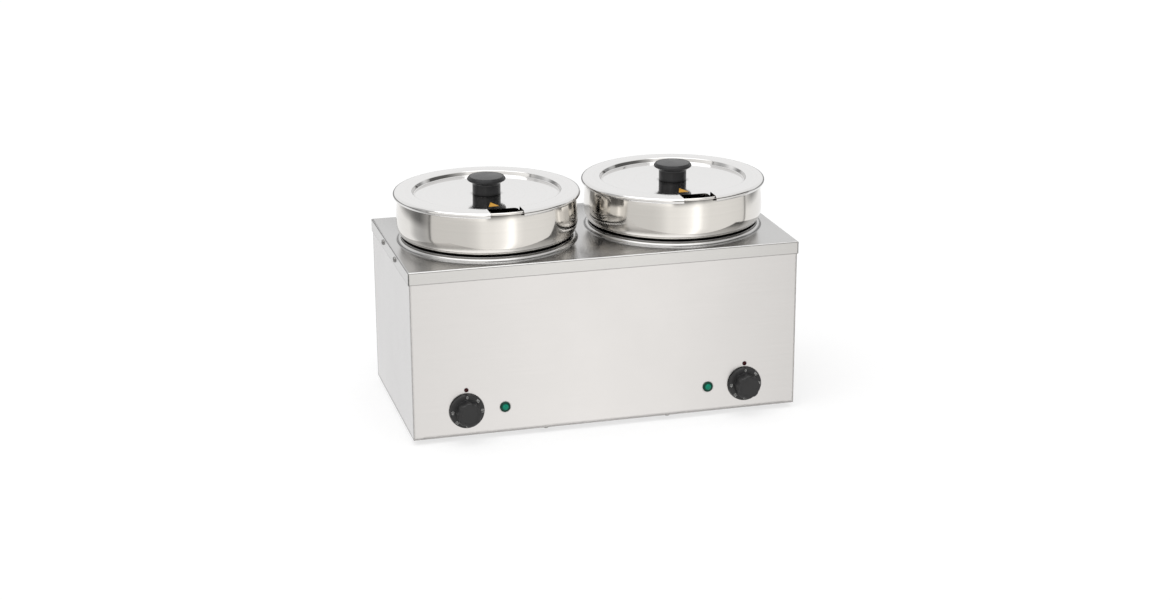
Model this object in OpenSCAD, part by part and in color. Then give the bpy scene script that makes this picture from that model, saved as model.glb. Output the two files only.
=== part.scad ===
// Counter-top double hotpot: two inset pots hang in water wells, each with its own control.
// +Z is up, the front faces -Y, and the origin is on the table under the middle of the housing.

/* [Housing] */
// Land between the collars and the ends of the housing
end_land = 12.5; // [8:0.5:45]
// Land between the collars and the front or rear of the housing
front_land = 13; // [10:0.5:35]
// Space between the wells' floors and the lower edge of the housing
under_space = 84; // [78:1:130]
// Thickness of the housing sheet
sheet = 1; // [0.8:0.1:1.5]
// Width of the flanges folded inwards on the panels
flange = 12; // [11:1:16]
// Free length left between two flanges at a corner
flange_relief = 3; // [2:0.5:6]

/* [Feet] */
// Height of each rubber foot
foot_h = 8; // [7:0.5:20]
// Diameter of each rubber foot
foot_d = 30; // [24:1:36]
// Distance of each foot's axis from the housing's edges
foot_inset = 45; // [40:1:55]

/* [Deck] */
// Height of the deck's folded skirt
deck_skirt = 18.5; // [16:0.5:25]
// Gap between the skirt and the panels
skirt_gap = 0.5; // [0.3:0.1:1]
// Outer bend radius of the deck's edges
deck_bend = 2.5; // [2:0.1:4]
// Width of the open slit at each folded corner
corner_slit = 0.8; // [0.5:0.1:1.2]
// Height of the collar round each pot opening
collar_h = 5; // [4:0.5:7]
// Width of the collar round each pot opening
collar_w = 11; // [9.5:0.5:14]
// Distance of the skirt screws from the middle of a side
deck_screw_y = 45; // [30:1:80]
// Distance of the skirt screws below the deck
deck_screw_drop = 9; // [8:0.5:12]

/* [Wells] */
// Inner radius of each well
well_r = 115; // [106:0.5:130]
// Depth of the well's floor below the deck
well_depth = 160; // [120:1:200]
// Radius of the well's lower corner
well_corner = 14; // [8:1:20]
// Width of the well's rim flange
well_rim_w = 8; // [6.5:0.5:8.5]
// Gap between the well and the edge of the deck's opening
opening_gap = 2; // [1:0.5:3]

/* [Pots] */
// Play of the pot's lower body in its well
pot_play = 4; // [3:0.5:7]
// Depth of the water space under the pot
water_depth = 22; // [16:1:40]
// Thickness of the pot's sheet
pot_sheet = 1; // [0.8:0.1:1.2]
// Radius of the pot's lower corner
pot_foot_corner = 16; // [10:1:24]
// Reach of the pot's upper wall over the well's inner radius
bulge_reach = 14.5; // [13:0.5:16]
// Width of the rounded corner under the upper wall
pot_corner = 13; // [9:0.5:14]
// Height of the rounded corner under the upper wall
pot_corner_h = 21; // [14:1:26]
// Draw of the upper wall inwards up to the rim
neck_draw = 3.7; // [2.5:0.1:5]
// Height of the pot's rim above the deck
pot_rim_h = 69.7; // [64:0.1:90]
// Radius of the rolled bead on the pot's rim
rim_bead = 1.8; // [1.5:0.1:2.5]
// Gap between a resting piece and its seat
seat_gap = 0.3; // [0.2:0.05:0.5]

/* [Lids] */
// Space between the two lids
lid_space = 10.6; // [4:0.1:30]
// Thickness of the lid's sheet
lid_sheet = 1; // [0.8:0.1:1.2]
// Gap between the lid's edge and the pot's rim
lid_clearance = 3.8; // [2:0.1:5]
// Radius of the lid's rounded edge
lid_edge = 4.4; // [4:0.1:6]
// Angle by which the rounded edge turns in below its widest line
lid_tuck = 40; // [20:1:60]
// Width of the lid's rim round the sunk centre
lid_flange = 28.2; // [25:0.1:38]
// Depth of the sunk centre
lid_recess_h = 6.2; // [5:0.1:12]
// Width of the ladle notch
notch_w = 47; // [30:1:60]
// Depth of the ladle notch from the lid's edge
notch_depth = 46; // [42:1:52]
// Diameter of the lid knob's cap
lid_knob_d = 55; // [46:1:70]
// Diameter of the lid knob's neck
lid_neck_d = 40; // [30:1:42]
// Height of the lid knob
lid_knob_h = 26; // [24:0.5:40]
// Side of the three-cornered caution label
label_w = 15; // [10:1:20]
// Distance of the label's point from the lid's axis
label_reach = 51; // [45:1:54]
// How far the label lies left of the lid's middle
label_aside = 6; // [0:1:10]

/* [Controls] */
// Distance of each control from the end of the front
control_inset = 76; // [68:1:85]
// Height of the controls above the housing's lower edge
control_z = 37; // [33:0.5:42]
// Diameter of the dial
dial_d = 50; // [46:1:54]
// Thickness of the dial's plate
dial_plate = 5; // [4.5:0.5:7]
// Diameter of the dial's grip
grip_d = 35; // [32:1:37]
// Height of the dial from its back to the front of its grip
dial_h = 21; // [18:0.5:26]
// Gap between the dial and the front panel
dial_gap = 1; // [0.6:0.1:2]
// Radius of the thermostat's shaft
shaft_r = 3; // [2.5:0.1:3.5]
// Radial running clearance of the shaft in its bearing
shaft_clearance = 0.05; // [0.02:0.01:0.09]
// Height of the index dot above the control's axis
index_rise = 30.2; // [29:0.2:34]
// Diameter of the index dot
index_d = 6; // [4:0.5:7]
// Distance between a signal lamp and its control
lamp_pitch = 55; // [44:1:64]
// Diameter of the signal lamp's rim
lamp_d = 15; // [14:0.5:18]

/* [Electrics] */
// Distance of the heating element's loop from the clamp plate's edge
heater_inset = 17; // [12:1:24]
// Radius of the heating element's tube
heater_tube_r = 3.25; // [3:0.25:4]
// Distance of the clamp plate's edge from the well's wall
clamp_inset = 23; // [18:1:28]
// Depth of the thermostat behind the front panel
thermostat_depth = 36; // [30:1:38]
// Width and height of the thermostat
thermostat_w = 40; // [36:1:42]
// Distance of the cable gland from the end of the rear panel
gland_inset = 100; // [92:1:125]
// Radius of the cable gland's opening
cord_bore_r = 4.5; // [3.5:0.1:5]
// Radius of an internal wire
wire_r = 1.2; // [0.8:0.1:1.5]

/* [Hidden] */
$fn = 96;

left = -1;
right = 1;
// overlap used where two solids of one piece are joined, and run-out of cutting solids
joint = 0.2;
beyond = 1;
// play of a screw in its clearance hole, and of a thread in its nut
hole_play = 0.2;
thread_play = 0.05;
// small gap between pieces that are pressed together
touch = 0.2;

// sizes that follow from the wells: pots, lids, collars and the housing round them
opening_r = well_r + sheet + opening_gap;
collar_r = opening_r + collar_w;
well_rim_r = well_r + well_rim_w;
pot_r = well_r - pot_play;
pot_depth = well_depth - water_depth;
pot_bulge_r = well_r + bulge_reach;
pot_neck_r = pot_bulge_r - neck_draw;
rim_r = pot_neck_r - pot_sheet + rim_bead;
lid_r = rim_r + rim_bead + lid_clearance + lid_sheet;
lid_recess_r = lid_r - lid_flange;
pot_spacing = 2 * lid_r + lid_space;
body_w = pot_spacing + 2 * (collar_r + end_land);
body_d = 2 * (collar_r + front_land);
body_h = well_depth + under_space;
control_x = body_w / 2 - control_inset;
lamp_x = control_x - lamp_pitch;
gland_x = body_w / 2 - gland_inset;
clamp_r = well_r - clamp_inset;
heater_loop_r = clamp_r - heater_inset;

// heights of the main planes above the table
z_base = foot_h;
z_floor = z_base + sheet;
z_deck = z_base + body_h;
z_panel_top = z_deck - sheet;
panel_h = z_panel_top - z_floor + beyond;
z_seat = z_deck + collar_h + sheet;
z_shoulder = z_seat + seat_gap;
z_well = z_deck - well_depth;
z_under = z_well - sheet;
z_pot = z_deck - pot_depth;
z_rim = z_deck + pot_rim_h;
z_lid = z_rim + seat_gap + lid_sheet;
z_disc = z_lid - lid_recess_h;
z_control = z_base + control_z;

// screws: radius of the thread, head radius and head height
m3 = [1.5, 2.75, 2];
m4 = [2, 4, 2.4];
m5 = [2.5, 4.75, 3];
m6 = [3, 6, 3.6];
m5_nut_af = 8;
m5_nut_h = 4;
hex_factor = 1 / sqrt(3);

// feet and the screws under the bottom
foot_x = body_w / 2 - foot_inset;
foot_y = body_d / 2 - foot_inset;
foot_bore_depth = foot_h * 0.55;
bottom_screw_edge = 5;
bottom_screw_x = body_w * 0.16;
bottom_screw_points = concat(
    [for (sx = [-1, 1], sy = [-1, 1]) [sx * bottom_screw_x, sy * (body_d / 2 - bottom_screw_edge)]],
    [for (sx = [-1, 1]) [sx * (body_w / 2 - bottom_screw_edge), 0]]);
screw_bite = 5;

// distance of the corner slit's end below the bend of the deck
slit_end = 0.5;

// pot and lid sections
bulge_h = z_rim - rim_bead - z_shoulder - pot_corner_h;
bulge_radius = (bulge_h * bulge_h + neck_draw * neck_draw) / (2 * neck_draw);
bulge_angle = asin(bulge_h / bulge_radius);
recess_fillet = 1.4;
recess_slope = 18;
recess_half = recess_fillet * cos(recess_slope)
    + (lid_recess_h / 2 - recess_fillet * (1 - sin(recess_slope))) * tan(recess_slope);
notch_corner = 6;
notch_in_r = lid_r - notch_depth;

// lid knob: fillet under the cap, rounded edge of the cap, groove round its top, and screw
knob_cap = 12.4;
knob_fillet = 4;
knob_fillet_end = 115;
knob_edge = 2;
knob_edge_drop = 4.4;
knob_edge_from = -60;
knob_edge_to = 30;
knob_top_inset = 2.3;
knob_dome = 0.7;
knob_groove = 0.6;
knob_bore = lid_knob_h * 0.7;
knob_screw_len = lid_knob_h * 0.6;

// caution label on each lid
label_t = 0.2;
label_h = 22;

// heating: element, clamp plate, studs and safety cut-out under each well
heater_gap_angle = 40;
z_heater = z_under - touch - heater_tube_r;
z_clamp = z_heater - heater_tube_r - touch;
clamp_sheet = 1.5;
z_clamp_low = z_clamp - clamp_sheet;
terminal_r = heater_tube_r + 0.75;
terminal_len = 22;
terminal_x = heater_loop_r * sin(heater_gap_angle / 2);
terminal_y = -heater_loop_r * cos(heater_gap_angle / 2);
z_terminal = z_heater - terminal_len;
stud_ring = 50;
stud_count = 3;
stud_len = z_under - z_clamp_low + m5_nut_h + 3;
cutout_rim_r = 12;
cutout_r = 8.5;
cutout_h = 12;
cutout_rim_h = 1;
tab_w = 6.3;
tab_t = 0.8;
tab_len = 8;
cutout_tab_x = 5;
z_cutout_tab = z_clamp_low - cutout_h - tab_len;
bulb_r = heater_tube_r - 0.25;
bulb_len = 80;
capillary_r = 1;

// thermostat and dial
bearing_r = shaft_r + 2;
bearing_len = 1.5;
shaft_in = 12;
shaft_out = dial_h * 0.75;
shaft_flat = shaft_r * 0.66;
thermostat_screw_x = 14;
y_thermostat = -body_d / 2 + sheet + thermostat_depth;
thermostat_tab_x = thermostat_w * 0.2;
scallop_count = 8;
scallop_r = 9;
scallop_depth = 1.1;
scallop_foot = 0.6;
grip_round = 2.5;
dial_taper = 0.8;
dial_wall = 3;
dial_hollow = 3;
mark_h = 4;
mark_w = 2.2;
mark_line = 0.6;
mark_raise = 0.25;
mark_ring = (grip_d + dial_d) / 4 - dial_taper / 2;
mark_angles = [0, 90, 135, 180, 225, 270, 315];
mark_digits = [[0], [4, 0], [5, 0], [6, 0], [7, 0], [8, 0], [9, 0]];
// strokes of each figure: top, upper right, lower right, bottom, lower left, upper left, middle
figure_strokes = [[1, 1, 1, 1, 1, 1, 0], [0, 1, 1, 0, 0, 0, 0], [1, 1, 0, 1, 1, 0, 1], [1, 1, 1, 1, 0, 0, 1],
    [0, 1, 1, 0, 0, 1, 1], [1, 0, 1, 1, 0, 1, 1], [1, 0, 1, 1, 1, 1, 1], [1, 1, 1, 0, 0, 0, 0],
    [1, 1, 1, 1, 1, 1, 1], [1, 1, 1, 1, 0, 1, 1]];

// index dots and signal lamps
index_rim = 0.4;
index_dome = 0.5;
lamp_hole_r = lamp_d / 2 - 0.9;
lamp_body_r = lamp_hole_r - hole_play;
lamp_barrel_r = lamp_body_r - 0.5;
lamp_rim_h = 1.6;
lamp_dome_h = 1.8;
lamp_barrel = 8;
lamp_body_len = 28;
lamp_ring_h = 1.5;
lamp_tab_x = 3;
lamp_tab_w = 2.8;

// cable gland, terminal block and earth bolt at the rear
gland_z = control_z;
gland_thread_r = 10;
gland_hex = 24;
gland_hex_h = 7;
gland_neck_r = 9;
gland_neck_h = 7;
gland_seal_r = 7;
gland_inside = 12;
gland_cap_r = 12.5;
gland_cap_end = 22;
gland_cap_floor = 6.5;
gland_nut_hex = 27;
gland_nut_h = 5;
block_y = body_d / 2 - 45;
block_d = 24;
block_h = 20;
pole_pitch = 8;
pole_r = 2;
pole_z = 10;
block_screw_x = 3 * pole_pitch;
block_w = 2 * block_screw_x + 10;
earth_x = gland_x - 65;
earth_len = 18;
earth_nut_gap = 2 * wire_r + 0.6;

// path helpers for round sheet-metal sections
function arc(c, r, a, b, n = 8) = [for (i = [0:n]) let (t = a + (b - a) * i / n) c + r * [cos(t), sin(t)]];
function right_of(p, q) = [q[1] - p[1], p[0] - q[0]] / norm(q - p);
function beside(p, t) = [for (i = [0:len(p) - 1])
    let (a = i == 0 ? right_of(p[0], p[1]) : right_of(p[i - 1], p[i]),
         b = i == len(p) - 1 ? a : right_of(p[i], p[i + 1]),
         m = (a + b) / norm(a + b)) p[i] + m * t / (m * b)];
function reversed(p) = [for (i = [len(p) - 1:-1:0]) p[i]];
module spun_sheet(path, t) rotate_extrude() polygon(concat(path, reversed(beside(path, t))));

// helpers for wires and tubes: a smooth line through points, and a tube along it
function blend(a, b, c, d, t) = 0.5 * (2 * b + (c - a) * t + (2 * a - 5 * b + 4 * c - d) * t * t
    + (3 * b - a - 3 * c + d) * t * t * t);
function smooth(p, n = 4) = concat([for (i = [0:len(p) - 2], k = [0:n - 1])
    blend(p[max(i - 1, 0)], p[i], p[i + 1], p[min(i + 2, len(p) - 1)], k / n)], [p[len(p) - 1]]);
function along(p, i) = let (d = p[min(i + 1, len(p) - 1)] - p[max(i - 1, 0)]) d / norm(d);
function carried(p, i, u) = i == len(p) ? [] :
    let (t = along(p, i), v = u - t * (u * t), w = v / norm(v))
        concat([[w, cross(t, w)]], carried(p, i + 1, w));
module tube(points, r, up = [0.36, 0.48, 0.8], sides = 8) {
    line = smooth(points);
    frames = carried(line, 0, up);
    n = len(line);
    spots = [for (i = [0:n - 1], k = [0:sides - 1])
        line[i] + r * (cos(360 * k / sides) * frames[i][0] + sin(360 * k / sides) * frames[i][1])];
    skin = [for (i = [0:n - 2], k = [0:sides - 1]) let (j = (k + 1) % sides, a = i * sides, b = a + sides)
        each [[a + k, b + k, b + j], [a + k, b + j, a + j]]];
    near = [for (k = [0:sides - 1]) k];
    far = [for (k = [sides - 1:-1:0]) (n - 1) * sides + k];
    polyhedron(points = spots, faces = concat([near], skin, [far]));
}

// placing helpers: the front and rear panels' outer faces with local +Z outwards
module on_front(x, z) translate([x, -body_d / 2, z]) rotate([90, 0, 0]) children();
module on_rear(x, z) translate([x, body_d / 2, z]) rotate([-90, 0, 0]) children();
function axis_x(side) = side * pot_spacing / 2;

module pan_screw(size, length) {
    rotate_extrude() polygon(concat([[0, 0], [size[1], 0]],
        [for (a = [0:15:90]) [size[1] * (0.45 + 0.55 * cos(a)), size[2] * (0.3 + 0.7 * sin(a))]],
        [[0, size[2]]]));
    translate([0, 0, -length]) cylinder(r = size[0], h = length + joint);
}
module cross_slot(size) for (a = [0, 90]) rotate([0, 0, a])
    translate([-size[1] * 0.5, -size[0] * 0.2, size[2] * 0.55]) cube([size[1], size[0] * 0.4, size[2]]);
module slotted_screw(size, length) difference() {
    pan_screw(size, length);
    cross_slot(size);
}
module hex_nut(af, h, bore) difference() {
    cylinder(r = af * hex_factor, h = h, $fn = 6);
    translate([0, 0, -beyond]) cylinder(r = bore, h = h + 2 * beyond);
}

// housing
module under_deck() translate([0, 0, z_panel_top]) folded_block(body_w + 2 * (skirt_gap - touch),
    body_d + 2 * (skirt_gap - touch), panel_h, deck_bend - sheet);
module long_wall() {
    length = body_w - 2 * (flange + flange_relief);
    translate([-body_w / 2, -body_d / 2, z_floor]) cube([body_w, sheet, panel_h]);
    translate([-length / 2, -body_d / 2, z_floor]) cube([length, flange, sheet]);
    translate([-length / 2, -body_d / 2, z_panel_top - sheet]) cube([length, flange, sheet + beyond]);
}
module bottom_holes(r) for (p = bottom_screw_points)
    translate([p[0], p[1], z_base - beyond]) cylinder(r = r, h = 2 * sheet + 2 * beyond);
module front_panel() color("silver") difference() {
    intersection() {
        long_wall();
        under_deck();
    }
    bottom_holes(m4[0] + thread_play);
    for (side = [left, right]) {
        on_front(side * control_x, z_control) translate([0, 0, -sheet - beyond]) {
            cylinder(r = bearing_r + hole_play, h = sheet + 2 * beyond);
            for (s = [-1, 1]) translate([s * thermostat_screw_x, 0, 0])
                cylinder(r = m4[0] + hole_play, h = sheet + 2 * beyond);
            translate([0, index_rise, 0]) cylinder(r = index_d / 4 + hole_play, h = sheet + 2 * beyond);
        }
        on_front(side * lamp_x, z_control) translate([0, 0, -sheet - beyond])
            cylinder(r = lamp_hole_r, h = sheet + 2 * beyond);
    }
}
module rear_panel() color("silver") difference() {
    intersection() {
        mirror([0, 1, 0]) long_wall();
        under_deck();
    }
    bottom_holes(m4[0] + thread_play);
    on_rear(gland_x, z_base + gland_z) translate([0, 0, -sheet - beyond])
        cylinder(r = gland_thread_r + hole_play, h = sheet + 2 * beyond);
}
module side_panel(side) color("silver") difference() {
    depth = body_d - 2 * sheet;
    length = depth - 2 * (flange + flange_relief);
    intersection() {
        translate([side * (body_w - sheet) / 2, 0, z_floor]) {
            translate([0, 0, panel_h / 2]) cube([sheet, depth, panel_h], center = true);
            for (s = [-1, 1])
                translate([-side * (flange - sheet) / 2, s * (depth - sheet) / 2, panel_h / 2])
                    cube([flange, sheet, panel_h], center = true);
            translate([-side * (flange - sheet) / 2, 0, sheet / 2])
                cube([flange, length, sheet], center = true);
            translate([-side * (flange - sheet) / 2, 0, panel_h - (sheet + beyond) / 2])
                cube([flange, length, sheet + beyond], center = true);
        }
        under_deck();
    }
    bottom_holes(m4[0] + thread_play);
    deck_screw_holes(side, m4[0] + thread_play);
}
module left_side_panel() side_panel(left);
module right_side_panel() side_panel(right);
module bottom_plate() color("silver") difference() {
    translate([-body_w / 2, -body_d / 2, z_base]) cube([body_w, body_d, sheet]);
    bottom_holes(m4[0] + hole_play);
    for (sx = [-1, 1], sy = [-1, 1]) translate([sx * foot_x, sy * foot_y, z_base - beyond])
        cylinder(r = m5[0] + hole_play, h = sheet + 2 * beyond);
    for (s = [-1, 1]) translate([gland_x + s * block_screw_x, block_y, z_base - beyond])
        cylinder(r = m3[0] + thread_play, h = sheet + 2 * beyond);
    translate([earth_x, block_y, z_base - beyond]) cylinder(r = m5[0] + hole_play, h = sheet + 2 * beyond);
}
module bottom_plate_screws() color("gainsboro") for (p = bottom_screw_points)
    translate([p[0], p[1], z_base]) mirror([0, 0, 1]) slotted_screw(m4, 2 * sheet + screw_bite);

// feet
module foot(sx, sy) color("dimgray") translate([sx * foot_x, sy * foot_y, 0]) rotate_extrude() polygon([
    [m5[0] + hole_play, foot_bore_depth], [m5[1] + 1.5, foot_bore_depth], [m5[1] + 1.5, 0],
    [foot_d / 2 - 2, 0], [foot_d / 2 - 1, 1], [foot_d / 2, foot_h - 1], [foot_d / 2, foot_h],
    [m5[0] + hole_play, foot_h]]);
module front_left_foot() foot(-1, -1);
module front_right_foot() foot(1, -1);
module rear_left_foot() foot(-1, 1);
module rear_right_foot() foot(1, 1);
module foot_screws() color("gainsboro") for (sx = [-1, 1], sy = [-1, 1])
    translate([sx * foot_x, sy * foot_y, foot_bore_depth]) mirror([0, 0, 1])
        slotted_screw(m5, z_floor - foot_bore_depth + m5_nut_h + 2);
module foot_nuts() color("gainsboro") for (sx = [-1, 1], sy = [-1, 1])
    translate([sx * foot_x, sy * foot_y, z_floor]) hex_nut(m5_nut_af, m5_nut_h, m5[0] + thread_play);

// deck
module arch(w, h, r) {
    translate([-w / 2, -h]) square([w, h - r]);
    translate([r - w / 2, -r - joint]) square([w - 2 * r, r + joint]);
    for (s = [-1, 1]) translate([s * (w / 2 - r), -r]) circle(r);
}
module folded_block(w, d, h, r) intersection() {
    rotate([90, 0, 90]) linear_extrude(height = w + 2 * beyond, center = true) arch(d, h, r);
    rotate([90, 0, 0]) linear_extrude(height = d + 2 * beyond, center = true) arch(w, h, r);
}
module deck_screw_holes(side, r) for (s = [-1, 1])
    translate([side * body_w / 2, s * deck_screw_y, z_deck - deck_screw_drop])
        rotate([0, 90, 0]) cylinder(r = r, h = 2 * flange, center = true);
module deck() color("silver") {
    w = body_w + 2 * (skirt_gap + sheet);
    d = body_d + 2 * (skirt_gap + sheet);
    difference() {
        translate([0, 0, z_deck]) folded_block(w, d, deck_skirt, deck_bend);
        translate([0, 0, z_panel_top])
            folded_block(w - 2 * sheet, d - 2 * sheet, deck_skirt + beyond, deck_bend - sheet);
        for (side = [left, right]) {
            translate([axis_x(side), 0, z_panel_top - beyond])
                cylinder(r = collar_r - sheet / 2, h = sheet + 2 * beyond);
            deck_screw_holes(side, m4[0] + hole_play);
            for (s = [-1, 1]) translate([side * w / 2, s * d / 2, z_deck - deck_bend - slit_end - deck_skirt])
                rotate([0, 0, side * s * 45]) translate([-3 * sheet, -corner_slit / 2, 0])
                    cube([6 * sheet, corner_slit, deck_skirt]);
        }
    }
    collar_path = concat([[opening_r, collar_h]], arc([collar_r - collar_h, 0], collar_h, 90, 0),
        [[collar_r, -sheet]]);
    for (side = [left, right]) translate([axis_x(side), 0, z_deck]) spun_sheet(collar_path, sheet);
}
module deck_screws() color("gainsboro") for (side = [left, right], s = [-1, 1])
    translate([side * (body_w / 2 + skirt_gap + sheet), s * deck_screw_y, z_deck - deck_screw_drop])
        rotate([0, side * 90, 0]) slotted_screw(m4, 2 * sheet + skirt_gap + screw_bite);

// wells
module well(side) color("lightgray") translate([axis_x(side), 0, 0]) {
    spun_sheet(concat([[0, z_well]], arc([well_r - well_corner, z_well + well_corner], well_corner, -90, 0),
        arc([well_r + 2, z_seat - 2], 2, 180, 90, 4), [[well_rim_r, z_seat]]), sheet);
    for (k = [0:stud_count - 1]) rotate([0, 0, 90 + 360 * k / stud_count])
        translate([stud_ring, 0, z_under - stud_len]) cylinder(r = m5[0], h = stud_len + sheet / 2);
}
module left_well() well(left);
module right_well() well(right);

// heating
module heating_element(side) color("darkgray") translate([axis_x(side), 0, 0]) {
    translate([0, 0, z_heater]) rotate([0, 0, -90 + heater_gap_angle / 2])
        rotate_extrude(angle = 360 - heater_gap_angle) translate([heater_loop_r, 0]) circle(heater_tube_r);
    for (s = [-1, 1]) translate([s * terminal_x, terminal_y, z_terminal])
        cylinder(r = terminal_r, h = terminal_len + heater_tube_r - touch);
}
module left_heating_element() heating_element(left);
module right_heating_element() heating_element(right);
module heater_clamp(side) color("gray") translate([axis_x(side), 0, z_clamp_low]) difference() {
    cylinder(r = clamp_r, h = clamp_sheet);
    for (k = [0:stud_count - 1]) rotate([0, 0, 90 + 360 * k / stud_count])
        translate([stud_ring, 0, -beyond]) cylinder(r = m5[0] + hole_play, h = clamp_sheet + 2 * beyond);
    for (s = [-1, 1]) translate([s * terminal_x, terminal_y, -beyond])
        cylinder(r = terminal_r + 1, h = clamp_sheet + 2 * beyond);
}
module left_heater_clamp() heater_clamp(left);
module right_heater_clamp() heater_clamp(right);
module heater_clamp_nuts() color("gainsboro") for (side = [left, right], k = [0:stud_count - 1])
    translate([axis_x(side), 0, z_clamp_low - m5_nut_h]) rotate([0, 0, 90 + 360 * k / stud_count])
        translate([stud_ring, 0, 0]) hex_nut(m5_nut_af, m5_nut_h, m5[0] + thread_play);
module safety_cutout(side) color("black") translate([axis_x(side), 0, z_clamp_low - cutout_h]) {
    cylinder(r = cutout_r, h = cutout_h);
    translate([0, 0, cutout_h - cutout_rim_h]) cylinder(r = cutout_rim_r, h = cutout_rim_h);
    for (s = [-1, 1]) translate([s * cutout_tab_x - tab_t / 2, -tab_w / 2, -tab_len])
        cube([tab_t, tab_w, tab_len + joint]);
}
module safety_cutouts() for (side = [left, right]) safety_cutout(side);
module sensor(side) color("peru") {
    y_entry = y_thermostat - thermostat_depth / 2;
    translate([axis_x(side), 0, z_heater]) rotate([90, 0, 0])
        cylinder(r = bulb_r, h = bulb_len, center = true);
    tube([[axis_x(side), 2 - bulb_len / 2, z_heater], [axis_x(side), -bulb_len * 0.75, z_heater],
        [axis_x(side), -clamp_r - 4, z_heater], [side * (control_x - 30), -clamp_r - 18, z_heater - 6],
        [side * control_x, y_entry, z_heater - 12],
        [side * control_x, y_entry, z_control + thermostat_w / 2 + touch]], capillary_r);
}
module left_sensor() sensor(left);
module right_sensor() sensor(right);

// controls
module thermostat(side) color("whitesmoke") on_front(side * control_x, z_control) difference() {
    union() {
        translate([-thermostat_w / 2, -thermostat_w / 2, -sheet - thermostat_depth])
            cube([thermostat_w, thermostat_w, thermostat_depth]);
        translate([0, 0, -sheet - joint]) cylinder(r = bearing_r, h = bearing_len + joint);
        for (s = [-1, 1])
            translate([s * thermostat_tab_x - tab_t / 2, -tab_w / 2, -sheet - thermostat_depth - tab_len])
                cube([tab_t, tab_w, tab_len + joint]);
    }
    translate([0, 0, -sheet - shaft_in - beyond])
        cylinder(r = shaft_r + shaft_clearance, h = shaft_in + bearing_len + 2 * beyond);
    for (s = [-1, 1]) translate([s * thermostat_screw_x, 0, -sheet - 2 * screw_bite])
        cylinder(r = m4[0] + thread_play, h = 2 * screw_bite + beyond);
}
module left_thermostat() thermostat(left);
module right_thermostat() thermostat(right);
module thermostat_screws() color("gainsboro") for (side = [left, right], s = [-1, 1])
    on_front(side * control_x, z_control) translate([s * thermostat_screw_x, 0, 0])
        slotted_screw(m4, sheet + screw_bite);
module flat_round(r, flat) intersection() {
    circle(r);
    translate([-2 * r, -2 * r]) square([4 * r, 2 * r + flat]);
}
module control_shaft(side) color("goldenrod") on_front(side * control_x, z_control) {
    translate([0, 0, -sheet - shaft_in]) cylinder(r = shaft_r, h = sheet + shaft_in + dial_gap);
    translate([0, 0, dial_gap - joint]) linear_extrude(height = shaft_out + joint)
        flat_round(shaft_r, shaft_flat);
}
module left_shaft() control_shaft(left);
module right_shaft() control_shaft(right);
module dial_form() difference() {
    union() {
        cylinder(r1 = dial_d / 2, r2 = dial_d / 2 - dial_taper, h = dial_plate);
        rotate_extrude() polygon(concat([[0, joint], [grip_d / 2, joint], [grip_d / 2, dial_plate]],
            arc([grip_d / 2 - grip_round, dial_h - grip_round], grip_round, 0, 90, 6), [[0, dial_h]]));
    }
    for (k = [0:scallop_count - 1]) rotate([0, 0, 360 * (k + 0.5) / scallop_count])
        translate([grip_d / 2 + scallop_r - scallop_depth, 0, dial_plate + scallop_foot])
            cylinder(r = scallop_r, h = dial_h);
    difference() {
        translate([0, 0, -beyond]) cylinder(r = dial_d / 2 - dial_wall, h = dial_hollow + beyond);
        translate([0, 0, -2 * beyond]) cylinder(r = shaft_r + dial_wall, h = dial_hollow + 4 * beyond);
    }
    translate([0, 0, -beyond]) linear_extrude(height = shaft_out + 2 * beyond)
        flat_round(shaft_r + thread_play, shaft_flat + thread_play);
}
module dial(side) color("black") on_front(side * control_x, z_control)
    translate([0, 0, dial_gap]) dial_form();
module left_dial() dial(left);
module right_dial() dial(right);
module figure(value) for (k = [0:6]) if (figure_strokes[value][k] == 1) {
    low = -mark_h / 2;
    middle = -mark_line / 2;
    high = mark_h / 2 - mark_line;
    side_x = mark_w / 2 - mark_line;
    if (k == 0) translate([-mark_w / 2, high]) square([mark_w, mark_line]);
    if (k == 1) translate([side_x, middle]) square([mark_line, mark_h / 2 + mark_line / 2]);
    if (k == 2) translate([side_x, low]) square([mark_line, mark_h / 2 + mark_line / 2]);
    if (k == 3) translate([-mark_w / 2, low]) square([mark_w, mark_line]);
    if (k == 4) translate([-mark_w / 2, low]) square([mark_line, mark_h / 2 + mark_line / 2]);
    if (k == 5) translate([-mark_w / 2, middle]) square([mark_line, mark_h / 2 + mark_line / 2]);
    if (k == 6) translate([-mark_w / 2, middle]) square([mark_w, mark_line]);
}
module dial_marks(side) color("white") on_front(side * control_x, z_control)
    translate([0, 0, dial_gap + dial_plate]) linear_extrude(height = mark_raise)
        for (k = [0:len(mark_angles) - 1], i = [0:len(mark_digits[k]) - 1]) rotate(mark_angles[k])
            translate([(i - (len(mark_digits[k]) - 1) / 2) * (mark_w + 2 * mark_line), mark_ring])
                figure(mark_digits[k][i]);
module left_dial_marks() dial_marks(left);
module right_dial_marks() dial_marks(right);
module index_dot(side) color("darkred") on_front(side * control_x, z_control + index_rise) {
    rotate_extrude() polygon(concat([[0, 0], [index_d / 2, 0]],
        [for (a = [0:15:90]) [index_d / 2 * cos(a), index_rim + index_dome * sin(a)]]));
    translate([0, 0, -sheet - 3]) cylinder(r = index_d / 4, h = sheet + 3 + joint);
}
module left_index_dot() index_dot(left);
module right_index_dot() index_dot(right);

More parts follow.
